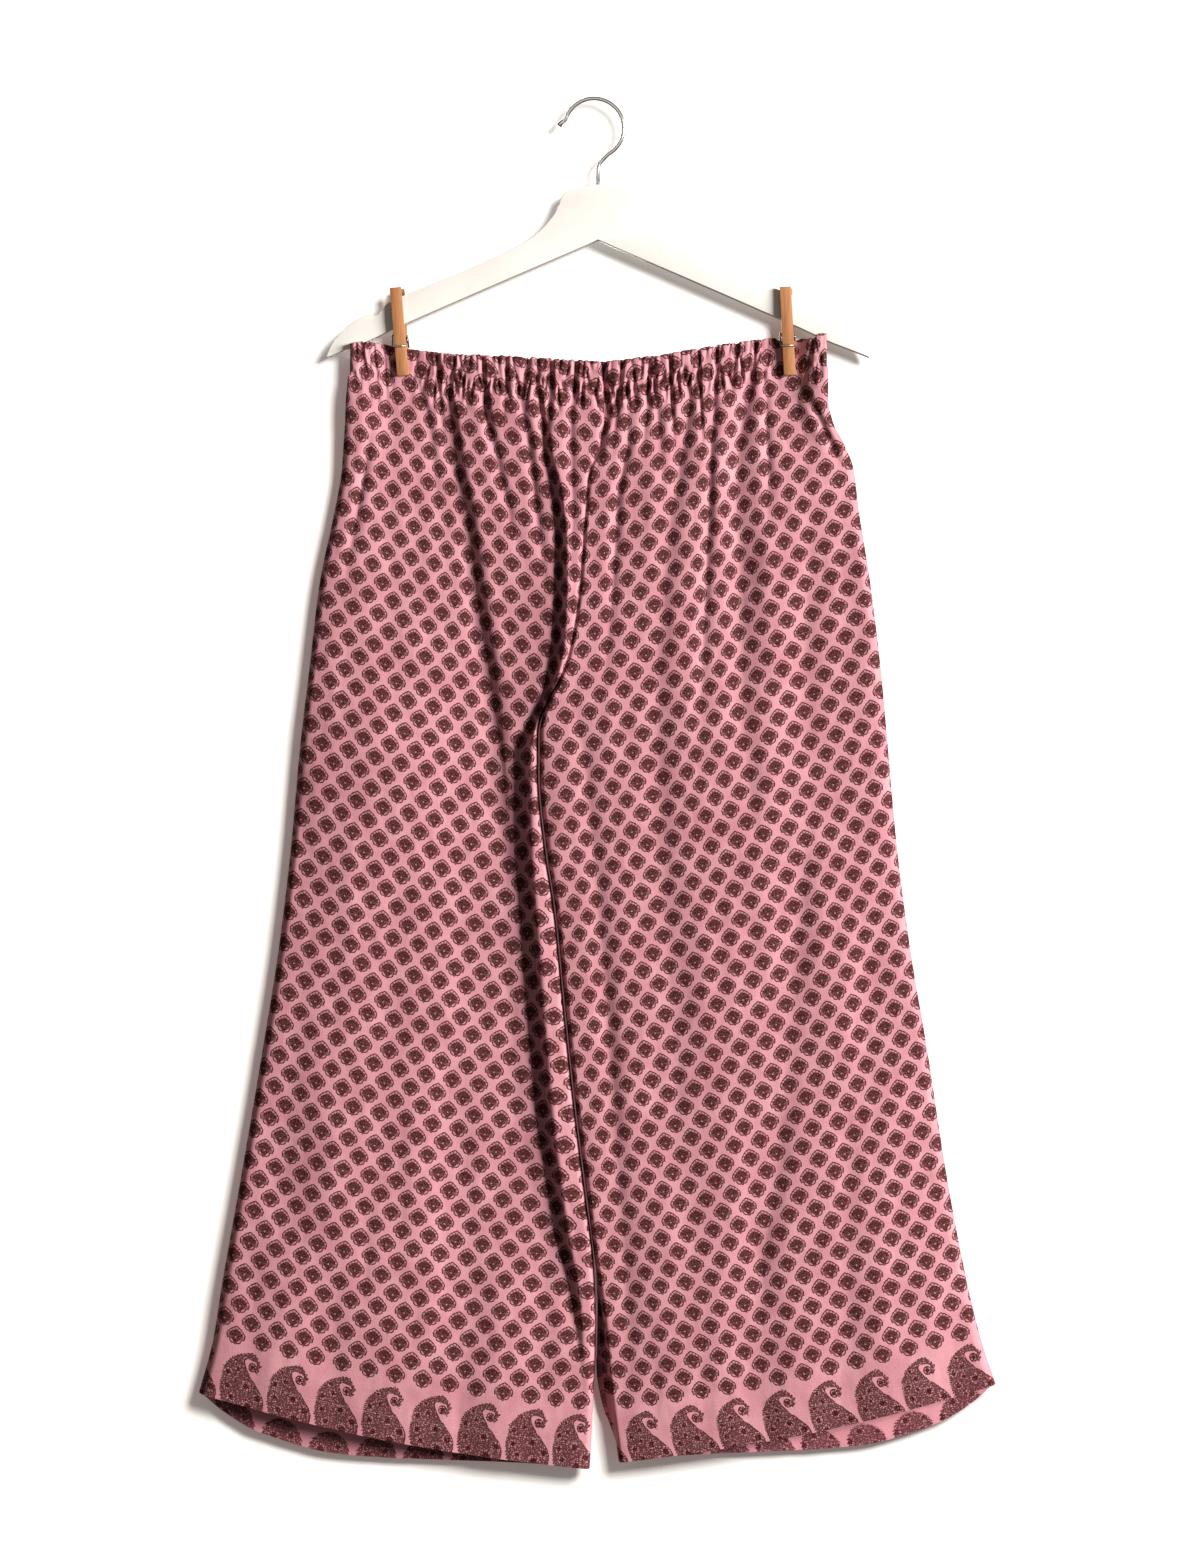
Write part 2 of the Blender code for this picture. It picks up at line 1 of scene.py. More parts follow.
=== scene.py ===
"""Looks of a pair of printed palazzo pants, pegged to a white wooden hanger.

The origin is the inner top of the hanger's hook. The front of the garment faces -Y, and left means -X, as seen
from the front. Tables are in millimetres.
"""

import math
from functools import partial

import bmesh
import bpy
import numpy as np
from mathutils import Matrix, Vector


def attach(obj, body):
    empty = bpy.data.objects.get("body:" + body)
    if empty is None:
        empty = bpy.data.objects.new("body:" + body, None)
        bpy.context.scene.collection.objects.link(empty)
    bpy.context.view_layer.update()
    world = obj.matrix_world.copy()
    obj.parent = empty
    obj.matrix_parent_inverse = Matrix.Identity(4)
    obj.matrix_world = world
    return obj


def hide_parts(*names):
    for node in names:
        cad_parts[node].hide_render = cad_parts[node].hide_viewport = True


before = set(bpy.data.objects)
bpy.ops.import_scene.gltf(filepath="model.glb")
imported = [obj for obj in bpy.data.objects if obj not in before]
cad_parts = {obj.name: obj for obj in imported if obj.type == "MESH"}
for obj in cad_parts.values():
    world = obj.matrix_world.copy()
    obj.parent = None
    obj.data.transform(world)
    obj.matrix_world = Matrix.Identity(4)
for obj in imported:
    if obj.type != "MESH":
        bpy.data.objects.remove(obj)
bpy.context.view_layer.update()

MM = 0.001

# ---------------------------------------------------------------------------------------------------------
# The cut and hang of the cloth
# ---------------------------------------------------------------------------------------------------------

CLOTH_WALL = 0.6
CASING_WALL = 1.8  # two layers of cloth with the elastic between them
CASING_HEIGHT = 25.5
FRONT_GRID = (236, 200)  # columns and rows
BACK_GRID = (150, 150)
CASING_GRID = (640, 20)
ROLL_COLUMNS = 6  # the columns in which the cloth turns in at a seam
LEG_ROLL = 6.5
INNER_ROLL = 3.5
CASING_ROLL = 4
ROW_CROWDING = 1.3  # the rows lie closer near the waist
CASING_CROWDING = 1.2

SIDE_SEAMS = {
    "columns": ("z", "left", "right"),
    "rows": (
        (-190, -197.0, 188.5), (-222, -198.8, 189.8), (-243, -200.8, 189.8), (-263, -201.8, 194.4),
        (-280, -203.2, 203.5), (-300, -204.8, 211.0), (-330, -210.0, 214.6), (-392, -222.8, 224.4),
        (-468, -231.9, 233.5), (-520, -238.2, 238.2), (-608, -246.2, 246.2), (-689, -256.0, 256.8),
        (-770, -268.9, 270.4), (-875, -286.7, 286.7), (-960, -301.8, 303.0), (-1005, -309.0, 314.0),
        (-1050, -321.0, 329.0),
    ),
}
INNER_SEAMS = {
    "columns": ("z", "left", "right"),
    "rows": (
        (-205, 8.1, 8.1), (-262, 8.1, 8.1), (-283, 4.6, 4.6), (-303, -3.8, -3.8), (-330, -6.2, -6.2),
        (-404, -12.2, -12.2), (-447, -19.4, -19.4), (-470, -27.5, -27.5), (-492, -39.0, -39.0),
        (-513, -45.0, -44.2), (-546, -45.2, -44.2), (-609, -39.4, -38.4), (-655, -32.4, -31.4),
        (-748, -23.2, -22.2), (-815, -16.0, -15.0), (-895, -6.0, -5.0), (-940, -0.4, 0.6), (-985, 1.4, 6.8),
        (-1048, -0.4, 12.8), (-1110, -3.2, 20.8),
    ),
}
WAIST_ENDS = {"left": -198, "right": 189}
CENTRE_X = 8.1  # the centre seam at the waist, where the casing's print changes legs
CROTCH_Z = -513
CROTCH_RISE = 55
HEMS = {
    "columns": ("side", "outer_x", "inner_x", "outer_z", "inner_z", "sag"),
    "rows": (("left", -321, -0.4, -1048, -1109.5, 8.0), ("right", 329, 12.8, -1041, -1104.0, 7.5)),
}
BACK_HEM = {
    "columns": ("across", "drop"),
    "rows": ((0, 0), (0.06, 11), (0.15, 20), (0.3, 23), (0.45, 18), (0.6, 11), (0.8, 4), (1, 0)),
}
# Behind the gap between the hems the legs' backs bulge out past their inseams, by height.
GAP_BULGE = {
    "columns": ("z", "left", "right"),
    "rows": (
        (-925, 0.0, 0), (-955, 2.0, 6), (-985, 4.0, 10), (-1010, 5.5, 13), (-1035, 5.5, 15), (-1058, 2.0, 13),
        (-1080, 0.0, 8), (-1104, 0.0, 0),
    ),
}
GAP_BULGE_REACH = 14
CASING = {
    "columns": ("x", "top", "middle", "spread", "gather"),
    "rows": (
        (-198.5, -199.0, -9.4, 3.2, 0.9), (-187.0, -197.2, -9.4, 3.2, 1.0), (-180.0, -197.4, -7.0, 3.2, 0.9),
        (-172.0, -198.6, -3.0, 3.2, 0.5), (-163.0, -200.2, 0.0, 3.0, 0.1), (-156.5, -201.6, 0.0, 2.9, 0.0),
        (-149.0, -202.6, 0.0, 3.0, 0.1), (-125.0, -205.0, 0.0, 6.2, 1.0), (-90.0, -206.8, 0.0, 8.6, 1.0),
        (-45.0, -209.4, 0.0, 9.8, 1.0), (5.0, -211.8, 0.0, 10.2, 1.0), (50.0, -207.2, 0.0, 9.8, 1.0),
        (92.0, -200.2, 0.0, 8.6, 1.0), (127.0, -195.2, 0.0, 6.2, 1.0), (146.5, -193.4, 0.0, 3.2, 0.3),
        (150.5, -195.8, 0.0, 3.0, 0.1), (158.0, -195.9, 0.0, 2.9, 0.0), (164.0, -195.8, 0.0, 3.0, 0.1),
        (169.0, -194.4, -2.6, 3.1, 0.4), (174.0, -194.6, -6.4, 3.2, 0.7), (178.0, -193.4, -8.8, 3.2, 0.9),
        (184.0, -190.6, -9.4, 3.2, 1.0), (190.0, -191.6, -9.4, 3.2, 0.9),
    ),
}
CASING_KEEP = 9
CASING_LOW_BLEND = 75
CASING_PUFF = {"size": 0.6, "power": 0.6}  # how the elastic rounds the casing out
CASING_LIP = {"roll": 1.6, "least": 0.72}  # the folded top edge
BACK_RISE = 1.2  # the back's top edge shows above the front's
DEPTHS = {
    "columns": ("z", "front", "back"),
    "rows": (
        (-190, 11, 10), (-300, 15, 12.5), (-400, 18, 15), (-513, 20, 16), (-700, 19.5, 14), (-900, 19, 13),
        (-1000, 18, 10), (-1115, 13, 5),
    ),
}
EDGE_SHARE = 0.5
LEAST_DEPTH = 1.2
LEAST_DEPTH_EASE = 1.4  # for each mm, how sharply a depth is eased off at the least one
CROWN_POWER = 0.42
INNER_POWER = 0.12  # the legs stay full up to their inner edges

# Folds as troughs in the cloth, each a path down it of x, z, width and depth. The last number is the share of the
# width that the right-hand wall takes: below 1, it is steeper.
FRONT_FOLDS = (
    # left leg, from the side seam inwards
    (((-188, -203, 1.4, 2.0), (-184, -224, 2.0, 3.0), (-179, -256, 2.8, 0)), 0.8),
    (((-178, -204, 1.2, 2.0), (-176, -226, 1.8, 3.0), (-174, -270, 2.8, 0)), 0.8),
    (((-170, -206, 1.2, 1.6), (-169, -230, 1.8, 3.0), (-167, -262, 2.8, 0)), 0.8),
    (((-180, -262, 3, 0), (-186, -300, 3.4, 2.6), (-194, -345, 3.6, 2.6), (-203, -400, 5, 0)), 1.0),
    (((-163, -232, 8, 0), (-165, -300, 12, 1.6), (-165, -420, 15, 1.6), (-172, -560, 20, 0)), 0.8),
    (((-142, -228, 3, 0), (-137, -250, 3.2, 3.6), (-131, -285, 4.5, 1.6), (-126, -340, 6, 0)), 0.7),
    (
        (
            (-118, -229, 3.4, 3), (-115, -255, 4.4, 5), (-109, -300, 6, 4.6), (-101, -335, 7, 4.2),
            (-93, -400, 8, 4), (-84, -455, 9, 4), (-76, -530, 10, 3.4), (-70, -600, 9, 2), (-64, -650, 11, 0),
        ),
        0.6,
    ),
    (
        ((-93, -228, 3, 1), (-88, -250, 3.6, 4.6), (-80, -285, 4, 2.6), (-70, -330, 4.5, 2.0), (-58, -380, 5, 0)),
        0.8,
    ),
    (((-61, -236, 2.8, 1), (-54, -270, 3.2, 3.2), (-47, -330, 3.6, 2.8), (-39, -400, 4.5, 0)), 0.9),
    (
        (
            (-45, -230, 3, 4), (-42, -252, 3.6, 6), (-37, -290, 4, 6), (-30, -315, 4.4, 7), (-26, -350, 4.6, 7.5),
            (-26, -400, 4.8, 8), (-28, -440, 5, 8), (-34, -475, 5, 7), (-46, -500, 6, 7), (-57, -525, 7, 7),
            (-55.5, -611, 7, 7), (-47.7, -719, 7, 7), (-39.5, -821, 6.8, 7), (-26, -913, 5.4, 5.4),
            (-15, -965, 4.4, 2.6), (-11.5, -1000, 4, 1.2), (-9, -1020, 5, 0),
        ),
        0.5,
    ),
    (((-19, -236, 3, 1), (-19, -280, 3.4, 2.8), (-17, -340, 3.8, 1.8), (-20, -390, 5, 0)), 1.0),
    # left leg, broad swells low down
    (((-163, -560, 22, 0), (-166, -640, 24, 2.2), (-170, -760, 26, 2.0), (-190, -900, 30, 0)), 0.8),
    (((-226, -560, 22, 0), (-236, -700, 26, 2.4), (-256, -860, 28, 2.2), (-282, -1010, 30, 0)), 0.8),
    (((-112, -760, 18, 0), (-108, -860, 20, 2.2), (-100, -960, 22, 1.6), (-90, -1050, 26, 0)), 0.7),
    # right leg, from the centre seam outwards
    (((10, -229, 3, 3), (10.5, -258, 3.4, 4.2), (6, -285, 3.6, 2.6), (-1, -306, 4, 0)), 0.8),
    (
        (
            (28, -240, 3, 0), (27, -283, 3.4, 3.0), (19, -320, 3.6, 3.0), (17, -360, 3.8, 2.8),
            (13, -420, 4.4, 1.6), (4, -520, 6, 0),
        ),
        1.0,
    ),
    (((50, -232, 3.4, 1), (52, -262, 4, 2.4), (55, -300, 5, 1.2), (54, -350, 7, 0)), 0.8),
    (
        (
            (79, -230, 4, 2), (76, -255, 5.6, 3.8), (69, -300, 8, 3.6), (62, -340, 10, 3.6), (57, -390, 12, 3.6),
            (52, -450, 13, 3.4), (51, -520, 14, 3), (54, -600, 14, 2.6), (62, -740, 18, 2.2), (72, -860, 20, 2.4),
            (94, -1000, 22, 0),
        ),
        0.8,
    ),
    (
        (
            (99, -240, 3, 0), (95, -275, 3.4, 3.2), (93, -330, 3.6, 3.2), (90, -400, 4, 2.6), (86, -490, 5, 1),
            (84, -560, 7, 0),
        ),
        1.0,
    ),
    (
        (
            (125, -229, 4, 3), (121, -250, 6, 6), (115, -295, 7, 5.4), (115, -345, 8, 5), (118, -370, 9, 4.8),
            (117, -420, 10, 4.4), (120, -480, 11, 3.4), (124, -560, 13, 2.4), (132, -640, 16, 0),
        ),
        1.2,
    ),
    (((140, -234, 2.6, 1), (139, -262, 3, 2.8), (141, -300, 3.2, 2.2), (140, -350, 4, 0)), 1.0),
    (
        ((166, -228, 3, 1.6), (175, -244, 3.4, 3.8), (184, -262, 3.8, 4), (192, -280, 4, 3), (201, -300, 4.4, 0)),
        0.8,
    ),
    (((176, -320, 12, 0), (172, -400, 15, 2.6), (172, -500, 17, 2.4), (176, -600, 20, 0)), 0.8),
    (
        (
            (178, -560, 14, 0), (166, -640, 16, 2.6), (157, -760, 16, 2.4), (148, -860, 15, 2.6),
            (136, -930, 12, 2.8), (134, -1000, 14, 0),
        ),
        0.7,
    ),
    (((214, -600, 20, 0), (220, -720, 24, 2.2), (222, -840, 26, 1.8), (232, -960, 28, 0)), 0.8),
    (
        (
            (-18, -470, 6, 0), (-8, -533, 7, 1.6), (3, -650, 8, 2.2), (12, -762, 8, 2.4), (20, -880, 8, 2.2),
            (26, -978, 9, 1.6), (32, -1050, 10, 0),
        ),
        0.9,
    ),
)
BACK_FOLDS = (
    (((-150, -229, 5, 2), (-143, -290, 8, 5), (-130, -400, 11, 4.4), (-118, -520, 14, 0)), 0.7),
    (((-88, -229, 4, 2), (-82, -280, 6, 4.6), (-74, -360, 8, 3), (-66, -470, 10, 0)), 0.8),
    (((-34, -232, 4, 2), (-34, -300, 6, 4.6), (-37, -400, 8, 4), (-42, -500, 11, 0)), 0.8),
    (((40, -232, 4, 2), (38, -300, 6, 4.6), (28, -400, 8, 4.4), (20, -520, 11, 0)), 1.2),
    (((96, -229, 5, 2), (95, -290, 7, 5), (101, -380, 9, 4.4), (108, -480, 12, 0)), 1.2),
    (((150, -229, 4, 2), (160, -280, 6, 4), (174, -340, 8, 3.6), (192, -430, 10, 0)), 1.2),
    (((-64, -540, 8, 0), (-52, -660, 11, 4), (-36, -820, 12, 4), (-20, -1020, 14, 0)), 0.8),
    (((12, -580, 8, 0), (22, -700, 11, 4), (34, -850, 12, 3.6), (50, -1030, 14, 0)), 1.2),
    (((-190, -600, 16, 0), (-204, -740, 20, 3), (-222, -900, 22, 2.6), (-240, -1040, 24, 0)), 0.8),
    (((170, -600, 16, 0), (184, -740, 20, 3), (200, -900, 22, 2.6), (216, -1040, 24, 0)), 1.2),
)
FOLD_FADE = 14  # the folds fade out this far above their first point
FOLD_POWER = 1.7
# The cloth beside a trough stands out: by a share of its depth, and where and how widely, in widths of the trough.
FOLD_CREST = {"share": 0.06, "place": 2.1, "width": 0.8}
SEAM_GROOVE = {"depth": 2.6, "half_width": 1.3}  # along the centre seam

# Steps in the left front: to the left of each line the cloth lies lower. Each is a path of x, z and the height of
# the step, then how far the low side reaches, and the width over which the cloth steps up.
FRONT_STEPS = (
    (
        (
            (-118, -229, 0), (-115, -262, 3.5), (-109, -300, 5.5), (-101, -335, 7), (-93, -400, 7.5),
            (-84, -455, 7.5), (-76, -530, 5), (-70, -600, 1.5), (-64, -660, 0),
        ),
        60, 9.0,
    ),
    (
        (
            (-43, -245, 0), (-37, -290, 4), (-30, -315, 7), (-26, -350, 9), (-26, -400, 10.5), (-28, -440, 11),
            (-34, -475, 11), (-46, -500, 11), (-56, -525, 11.5), (-54, -611, 12.5), (-49.4, -665, 12.5),
            (-46.2, -719, 12.5), (-43.7, -768, 12.5), (-38, -821, 12.5), (-33.2, -865, 12), (-25, -913, 11),
            (-14.5, -965, 7), (-11.5, -1000, 3), (-9, -1025, 1), (-6, -1060, 0),
        ),
        130, 4.0,
    ),
)
# Gathers from the elastic, each a row of creases along the waist. Start is how far below the top edge they begin.
GATHER_KINDS = {
    "columns": ("pitch", "depth", "width", "start", "run", "lean"),
    "rows": (
        ((4.0, 9.0), (0.8, 1.8), (0.8, 1.2), (0.0, 0.0), (8, 24), 2.5),
        ((12.0, 24.0), (2.8, 4.8), (1.1, 1.9), (0.0, 0.0), (42, 92), 8.0),
        ((5.0, 10.0), (2.0, 4.0), (0.9, 1.5), (5.0, 22.0), (9, 30), 5.0),
        ((5.0, 11.0), (3.0, 5.0), (1.0, 1.7), (15.0, 23.0), (12, 26), 4.0),
    ),
}
# A crease below its first point, as shares of its lean, run, width and depth.
GATHER_PATH = ((0, 0.2, 1, 1), (0.4, 0.55, 1.3, 0.8), (1, 1, 2.2, 0))
GATHER_ABOVE = 9  # a crease from the top edge begins this far above it
GATHER_SEEDS = {"front": 11, "back": 29}
GATHER_KEEP_OUT = ((-163, -147), (151, 167))  # under the pegs the casing is pressed flat
STITCH_PINCH = {"depth": 0.1, "half_height": 2.4}  # the dent along the casing's stitching
FRILL_FULL = 3.0
FRILL_HEIGHT = 1.6  # how far the top edge dips at a deep gather

# Small unevenness of the hanging cloth: amplitude and the size of its lumps, across and down.
SWELLS = ((0.9, 34, 150), (0.35, 13, 60), (0.10, 5, 12))
SWELL_SEEDS = {"front": 5, "back": 7}
SWELL_CORNER, SWELL_SIZE = (-380, -1160), (760, 1000)
SWELL_AT_WAIST = 0.25
EDGE_SWELL = {"share": 0.5, "stretch": 3}  # along the casing's top edge

# ---------------------------------------------------------------------------------------------------------
# The print
# ---------------------------------------------------------------------------------------------------------

# The lean of the print's columns in degrees, by height: the cloth hangs plumb at the waist and swings outwards.
PRINT_LEAN = {
    "columns": ("z", "left", "right"),
    "rows": (
        (-180, 0.0, 1.5), (-300, 0.5, 3.5), (-341, 3.0, 5.0), (-406, 4.2, 6.5), (-470, 4.8, 8.2), (-535, 5.8, 10.0),
        (-608, 6.9, 11.0), (-689, 8.2, 11.6), (-770, 8.5, 12.6), (-850, 8.5, 13.2), (-932, 8.3, 14.6),
        (-1000, 7.7, 15.6), (-1140, 7.6, 16.0),
    ),
}
PRINT_LEVEL = -1079  # where the columns' sideways drift is counted from
PRINT_ANCHOR = {"left": -110, "right": 76}  # the column that the gathering leaves in its place
PRINT_STRETCH = {"left": 0.0, "right": 0.016}  # how much longer the print has hung out above a height
PRINT_STRETCH_FROM = 350
PRINT_SHIFT = {"left": (7.6, -3.6), "right": (-9.2, 1.4)}  # where each leg's print starts, across and up
HIDDEN_SHARE = 1.2  # the real creases hide more cloth than the modelled ones
LEAST_HIDDEN = 0.12
CREASE_REACH = 20  # how far from a crease the print is let out again
CREASE_WINDOW = 100
HEM_TUCK = {"amount": 7, "start": -45, "run": 40, "top": -985, "blend": 60}
PRINT_HEIGHTS = np.linspace(-1160, -170, 500)
PRINT_WIDTH = np.arange(-380, 381.0)
HEM_LENGTH = np.linspace(-560, 560, 2241)

# How much cloth the gathering hides, in mm for each mm across: rows are heights, columns places across.
GATHERED = {
    "left": (
        (-173, -137, -100, -64, -27),
        (
            (-190, (0.35, 0.38, 0.4, 0.35, 0.35)), (-276, (0.2, 0.26, 0.36, 0.26, 0.33)),
            (-325, (0.15, 0.2, 0.42, 0.16, 0.36)), (-373, (0.1, 0.15, 0.33, 0.08, 0.36)),
            (-438, (0.06, 0.06, 0.2, 0.15, 0.36)), (-535, (0.02, 0.06, 0.06, 0.24, 0.24)),
            (-649, (0.02, 0.05, 0.02, 0.1, 0.1)), (-811, (0.01, 0.02, 0.02, 0.03, 0.03)),
            (-956, (0.0, 0.0, 0.0, 0.0, 0.0)),
        ),
    ),
    "right": (
        (9, 45, 82, 118, 155, 191, 228),
        (
            (-190, (0.38, 0.34, 0.38, 0.4, 0.34, 0.3, 0.1)), (-276, (0.36, 0.26, 0.33, 0.39, 0.17, 0.12, 0.06)),
            (-325, (0.39, 0.1, 0.33, 0.39, 0.2, 0.06, 0.06)), (-373, (0.33, 0.1, 0.33, 0.33, 0.1, 0.06, 0.06)),
            (-438, (0.15, 0.06, 0.26, 0.2, 0.06, 0.02, 0.06)), (-535, (0.2, 0.02, 0.26, 0.06, 0.06, 0.06, 0.1)),
            (-649, (0.33, 0.02, 0.1, 0.02, 0.02, 0.1, 0.1)), (-811, (0.33, 0.06, 0.02, 0.06, 0.02, 0.06, 0.06)),
            (-956, (0.25, 0.2, 0.02, 0.1, 0.06, 0.02, 0.02)), (-1100, (0.1, 0.1, 0.02, 0.04, 0.04, 0.02, 0.02)),
        ),
    ),
}


def rows_of(table):
    """The table's rows as dictionaries, one for each row."""
    return [dict(zip(table["columns"], row)) for row in table["rows"]]


def hermite(start, leave, end, arrive, s):
    """A smooth curve from start to end, a share s of the way along."""
    return (
        start * (1 + 2 * s) * (1 - s) ** 2
        + leave * s * (1 - s) ** 2
        + end * s * s * (3 - 2 * s)
        + arrive * s * s * (s - 1)
    )


def read_curve(table, key, value, at):
    """A smooth curve through a table's rows that never overshoots: value where key is at."""
    points = np.array(sorted((row[key], row[value]) for row in rows_of(table)), float)
    place, height = points.T
    slopes = np.diff(height) / np.diff(place)
    into, out = slopes[:-1], slopes[1:]
    rising = into * out > 0
    tangent = np.concatenate((slopes[:1], np.zeros(len(rising)), slopes[-1:]))
    tangent[1:-1][rising] = (2 * into * out)[rising] / (into + out)[rising]
    at = np.clip(at, place[0], place[-1])
    start = np.clip(np.searchsorted(place, at, side="right") - 1, 0, len(place) - 2)
    step = place[start + 1] - place[start]
    s = (at - place[start]) / step
    return hermite(height[start], tangent[start] * step, height[start + 1], tangent[start + 1] * step, s)


def smooth(share):
    """0 to 1 with level ends."""
    share = np.clip(share, 0, 1)
    return share * share * (3 - 2 * share)


def roll(distance, radius):
    """A quarter circle: 0 at a seam, 1 from radius away."""
    share = np.clip(1 - distance / radius, 0, 1)
    return np.sqrt(1 - share * share)


def no_thinner(depth):
    """A depth eased off so that it never falls below the least one."""
    return LEAST_DEPTH + np.logaddexp(0, (depth - LEAST_DEPTH) * LEAST_DEPTH_EASE) / LEAST_DEPTH_EASE


def casing_bottom(x):
    return read_curve(CASING, "x", "top", x) - CASING_HEIGHT


def below_casing(z, waist_z):
    """0 beside the casing, 1 where a leg has its own depth."""
    return smooth((waist_z - z - CASING_KEEP) / CASING_LOW_BLEND)


def between_legs(z):
    """0 on the centre seam, 1 where the two legs are separate tubes."""
    return smooth((CROTCH_Z + CROTCH_RISE - z) / CROTCH_RISE)


def fold_depth(folds, x, z):
    """How far the folds press the cloth in."""
    total = np.zeros(np.shape(x))
    for path, right_share in folds:
        run, level, width, depth = np.array(path, float)[::-1].T
        near = (z > level[0]) & (z < level[-1] + FOLD_FADE)
        if not near.any():
            continue
        off = x - np.interp(z, level, run)
        width = np.interp(z, level, width)
        depth = np.interp(z, level, depth) * smooth(1 - (z - level[-1]) / FOLD_FADE)
        off = np.abs(off) / np.where(off > 0, width * right_share, width)
        crest = np.exp(-(((off - FOLD_CREST["place"]) / FOLD_CREST["width"]) ** 2))
        total += depth * (np.exp(-(off**FOLD_POWER)) - FOLD_CREST["share"] * crest)
    return total


def seam_groove(x, z):
    """The groove where the two legs meet, above the crotch."""
    off = (x - read_curve(INNER_SEAMS, "z", "left", z)) / SEAM_GROOVE["half_width"]
    return SEAM_GROOVE["depth"] * np.exp(-(off**2)) * (1 - between_legs(z))


def step_depth(x, z):
    """How much lower the left front lies beside the lines where its cloth steps up."""
    total = np.zeros(np.shape(x))
    for path, reach, width in FRONT_STEPS:
        run, level, height = np.array(path, float)[::-1].T
        off = np.interp(z, level, run) - x
        height = np.interp(z, level, height, left=0, right=0)
        total += height * smooth(off / width + 0.5) * np.exp(-((np.maximum(off, 0) / reach) ** 2))
    return total


def gathers(face):
    """The gathers' creases as folds, unevenly spaced along the waist."""
    random = np.random.default_rng(GATHER_SEEDS[face])
    creases = []
    for kind in rows_of(GATHER_KINDS):
        x = WAIST_ENDS["left"] + random.uniform(1, kind["pitch"][0])
        while x < WAIST_ENDS["right"] - 3:
            depth, width, start, run = (random.uniform(*kind[key]) for key in ("depth", "width", "start", "run"))
            lean = random.uniform(-kind["lean"], kind["lean"])
            share = random.uniform(0.5, 1.5)
            depth = depth * float(read_curve(CASING, "x", "gather", x))
            top = float(read_curve(CASING, "x", "top", x)) - start
            if not any(low < x < high for low, high in GATHER_KEEP_OUT):
                above, first = (0, 0) if start else (GATHER_ABOVE, depth)
                path = [(x - 0.2 * lean, top + above, width, first)]
                path += [(x + a * lean, top - b * run, c * width, d * depth) for a, b, c, d in GATHER_PATH]
                creases.append((path, share))
            x += random.uniform(*kind["pitch"])
    return creases


GATHERS = {face: gathers(face) for face in GATHER_SEEDS}


def swell(face, x, z):
    """Small unevenness of the cloth, from smoothed random fields."""
    random = np.random.default_rng(SWELL_SEEDS[face])
    total = np.zeros(np.shape(x))
    for size, across, down in SWELLS:
        columns, rows = int(SWELL_SIZE[0] / across) + 4, int(SWELL_SIZE[1] / down) + 4
        field = random.normal(size=(columns, rows))
        u, v = (np.asarray(x) - SWELL_CORNER[0]) / across, (np.asarray(z) - SWELL_CORNER[1]) / down
        i, j = np.clip(u.astype(int), 0, columns - 2), np.clip(v.astype(int), 0, rows - 2)
        s, t = smooth(u - i), smooth(v - j)
        low = field[i, j] * (1 - s) + field[i + 1, j] * s
        high = field[i, j + 1] * (1 - s) + field[i + 1, j + 1] * s
        total += size * (low * (1 - t) + high * t)
    return total


def hem_row(side):
    return next(row for row in rows_of(HEMS) if row["side"] == side)


def hem_z(side, face, across):
    """The height of a leg's lower edge, across it from the side seam to the inseam."""
    hem = hem_row(side)
    z = hem["outer_z"] + (hem["inner_z"] - hem["outer_z"]) * across
    z = z - hem["sag"] * np.sin(np.pi * across)
    if face == "back":
        z = z - read_curve(BACK_HEM, "across", "drop", across)
    return z


def pressed_in(face, x, z, waist_z):
    """How far folds, gathers, stitching and seams press the cloth in."""
    folds = FRONT_FOLDS if face == "front" else BACK_FOLDS
    pinch = STITCH_PINCH["depth"] * np.exp(-(((z - waist_z) / STITCH_PINCH["half_height"]) ** 2))
    return fold_depth(folds, x, z) + fold_depth(GATHERS[face], x, z) + pinch + seam_groove(x, z)


def leg_depth(face, across, x, z, waist_z, stepped=True):
    """How far a leg's cloth stands out from the seam plane, away from its edges."""
    split = between_legs(z)
    power = np.where(across > 0.5, INNER_POWER, CROWN_POWER)
    crown = (1 - split) * np.sin(np.pi / 2 * across) ** CROWN_POWER
    crown = crown + split * np.sin(np.pi * np.clip(across, 0, 1)) ** power
    depth = read_curve(DEPTHS, "z", face, z) * (EDGE_SHARE + (1 - EDGE_SHARE) * crown)
    share = below_casing(z, waist_z)
    depth = read_curve(CASING, "x", "spread", x) * (1 - share) + depth * share
    depth = depth - pressed_in(face, x, z, waist_z)
    if face == "front" and stepped:
        depth = depth - step_depth(x, z)
    return no_thinner(depth + swell(face, x, z) * (SWELL_AT_WAIST + (1 - SWELL_AT_WAIST) * share))


def distance_in(columns, width, first, last):
    """How far in from the first edge each column lies; the first and last turn round the seams."""
    turn = 1 - np.cos(np.pi / 2 * np.arange(ROLL_COLUMNS + 1) / ROLL_COLUMNS)
    flat = np.linspace(0, 1, columns - 2 * ROLL_COLUMNS + 1)[1:-1]
    width = np.asarray(width, float)[..., None]
    start = first * turn + 0 * width
    middle = first + (width - first - last) * flat
    end = width - last * turn[::-1]
    return np.concatenate((start, middle, end), axis=-1)


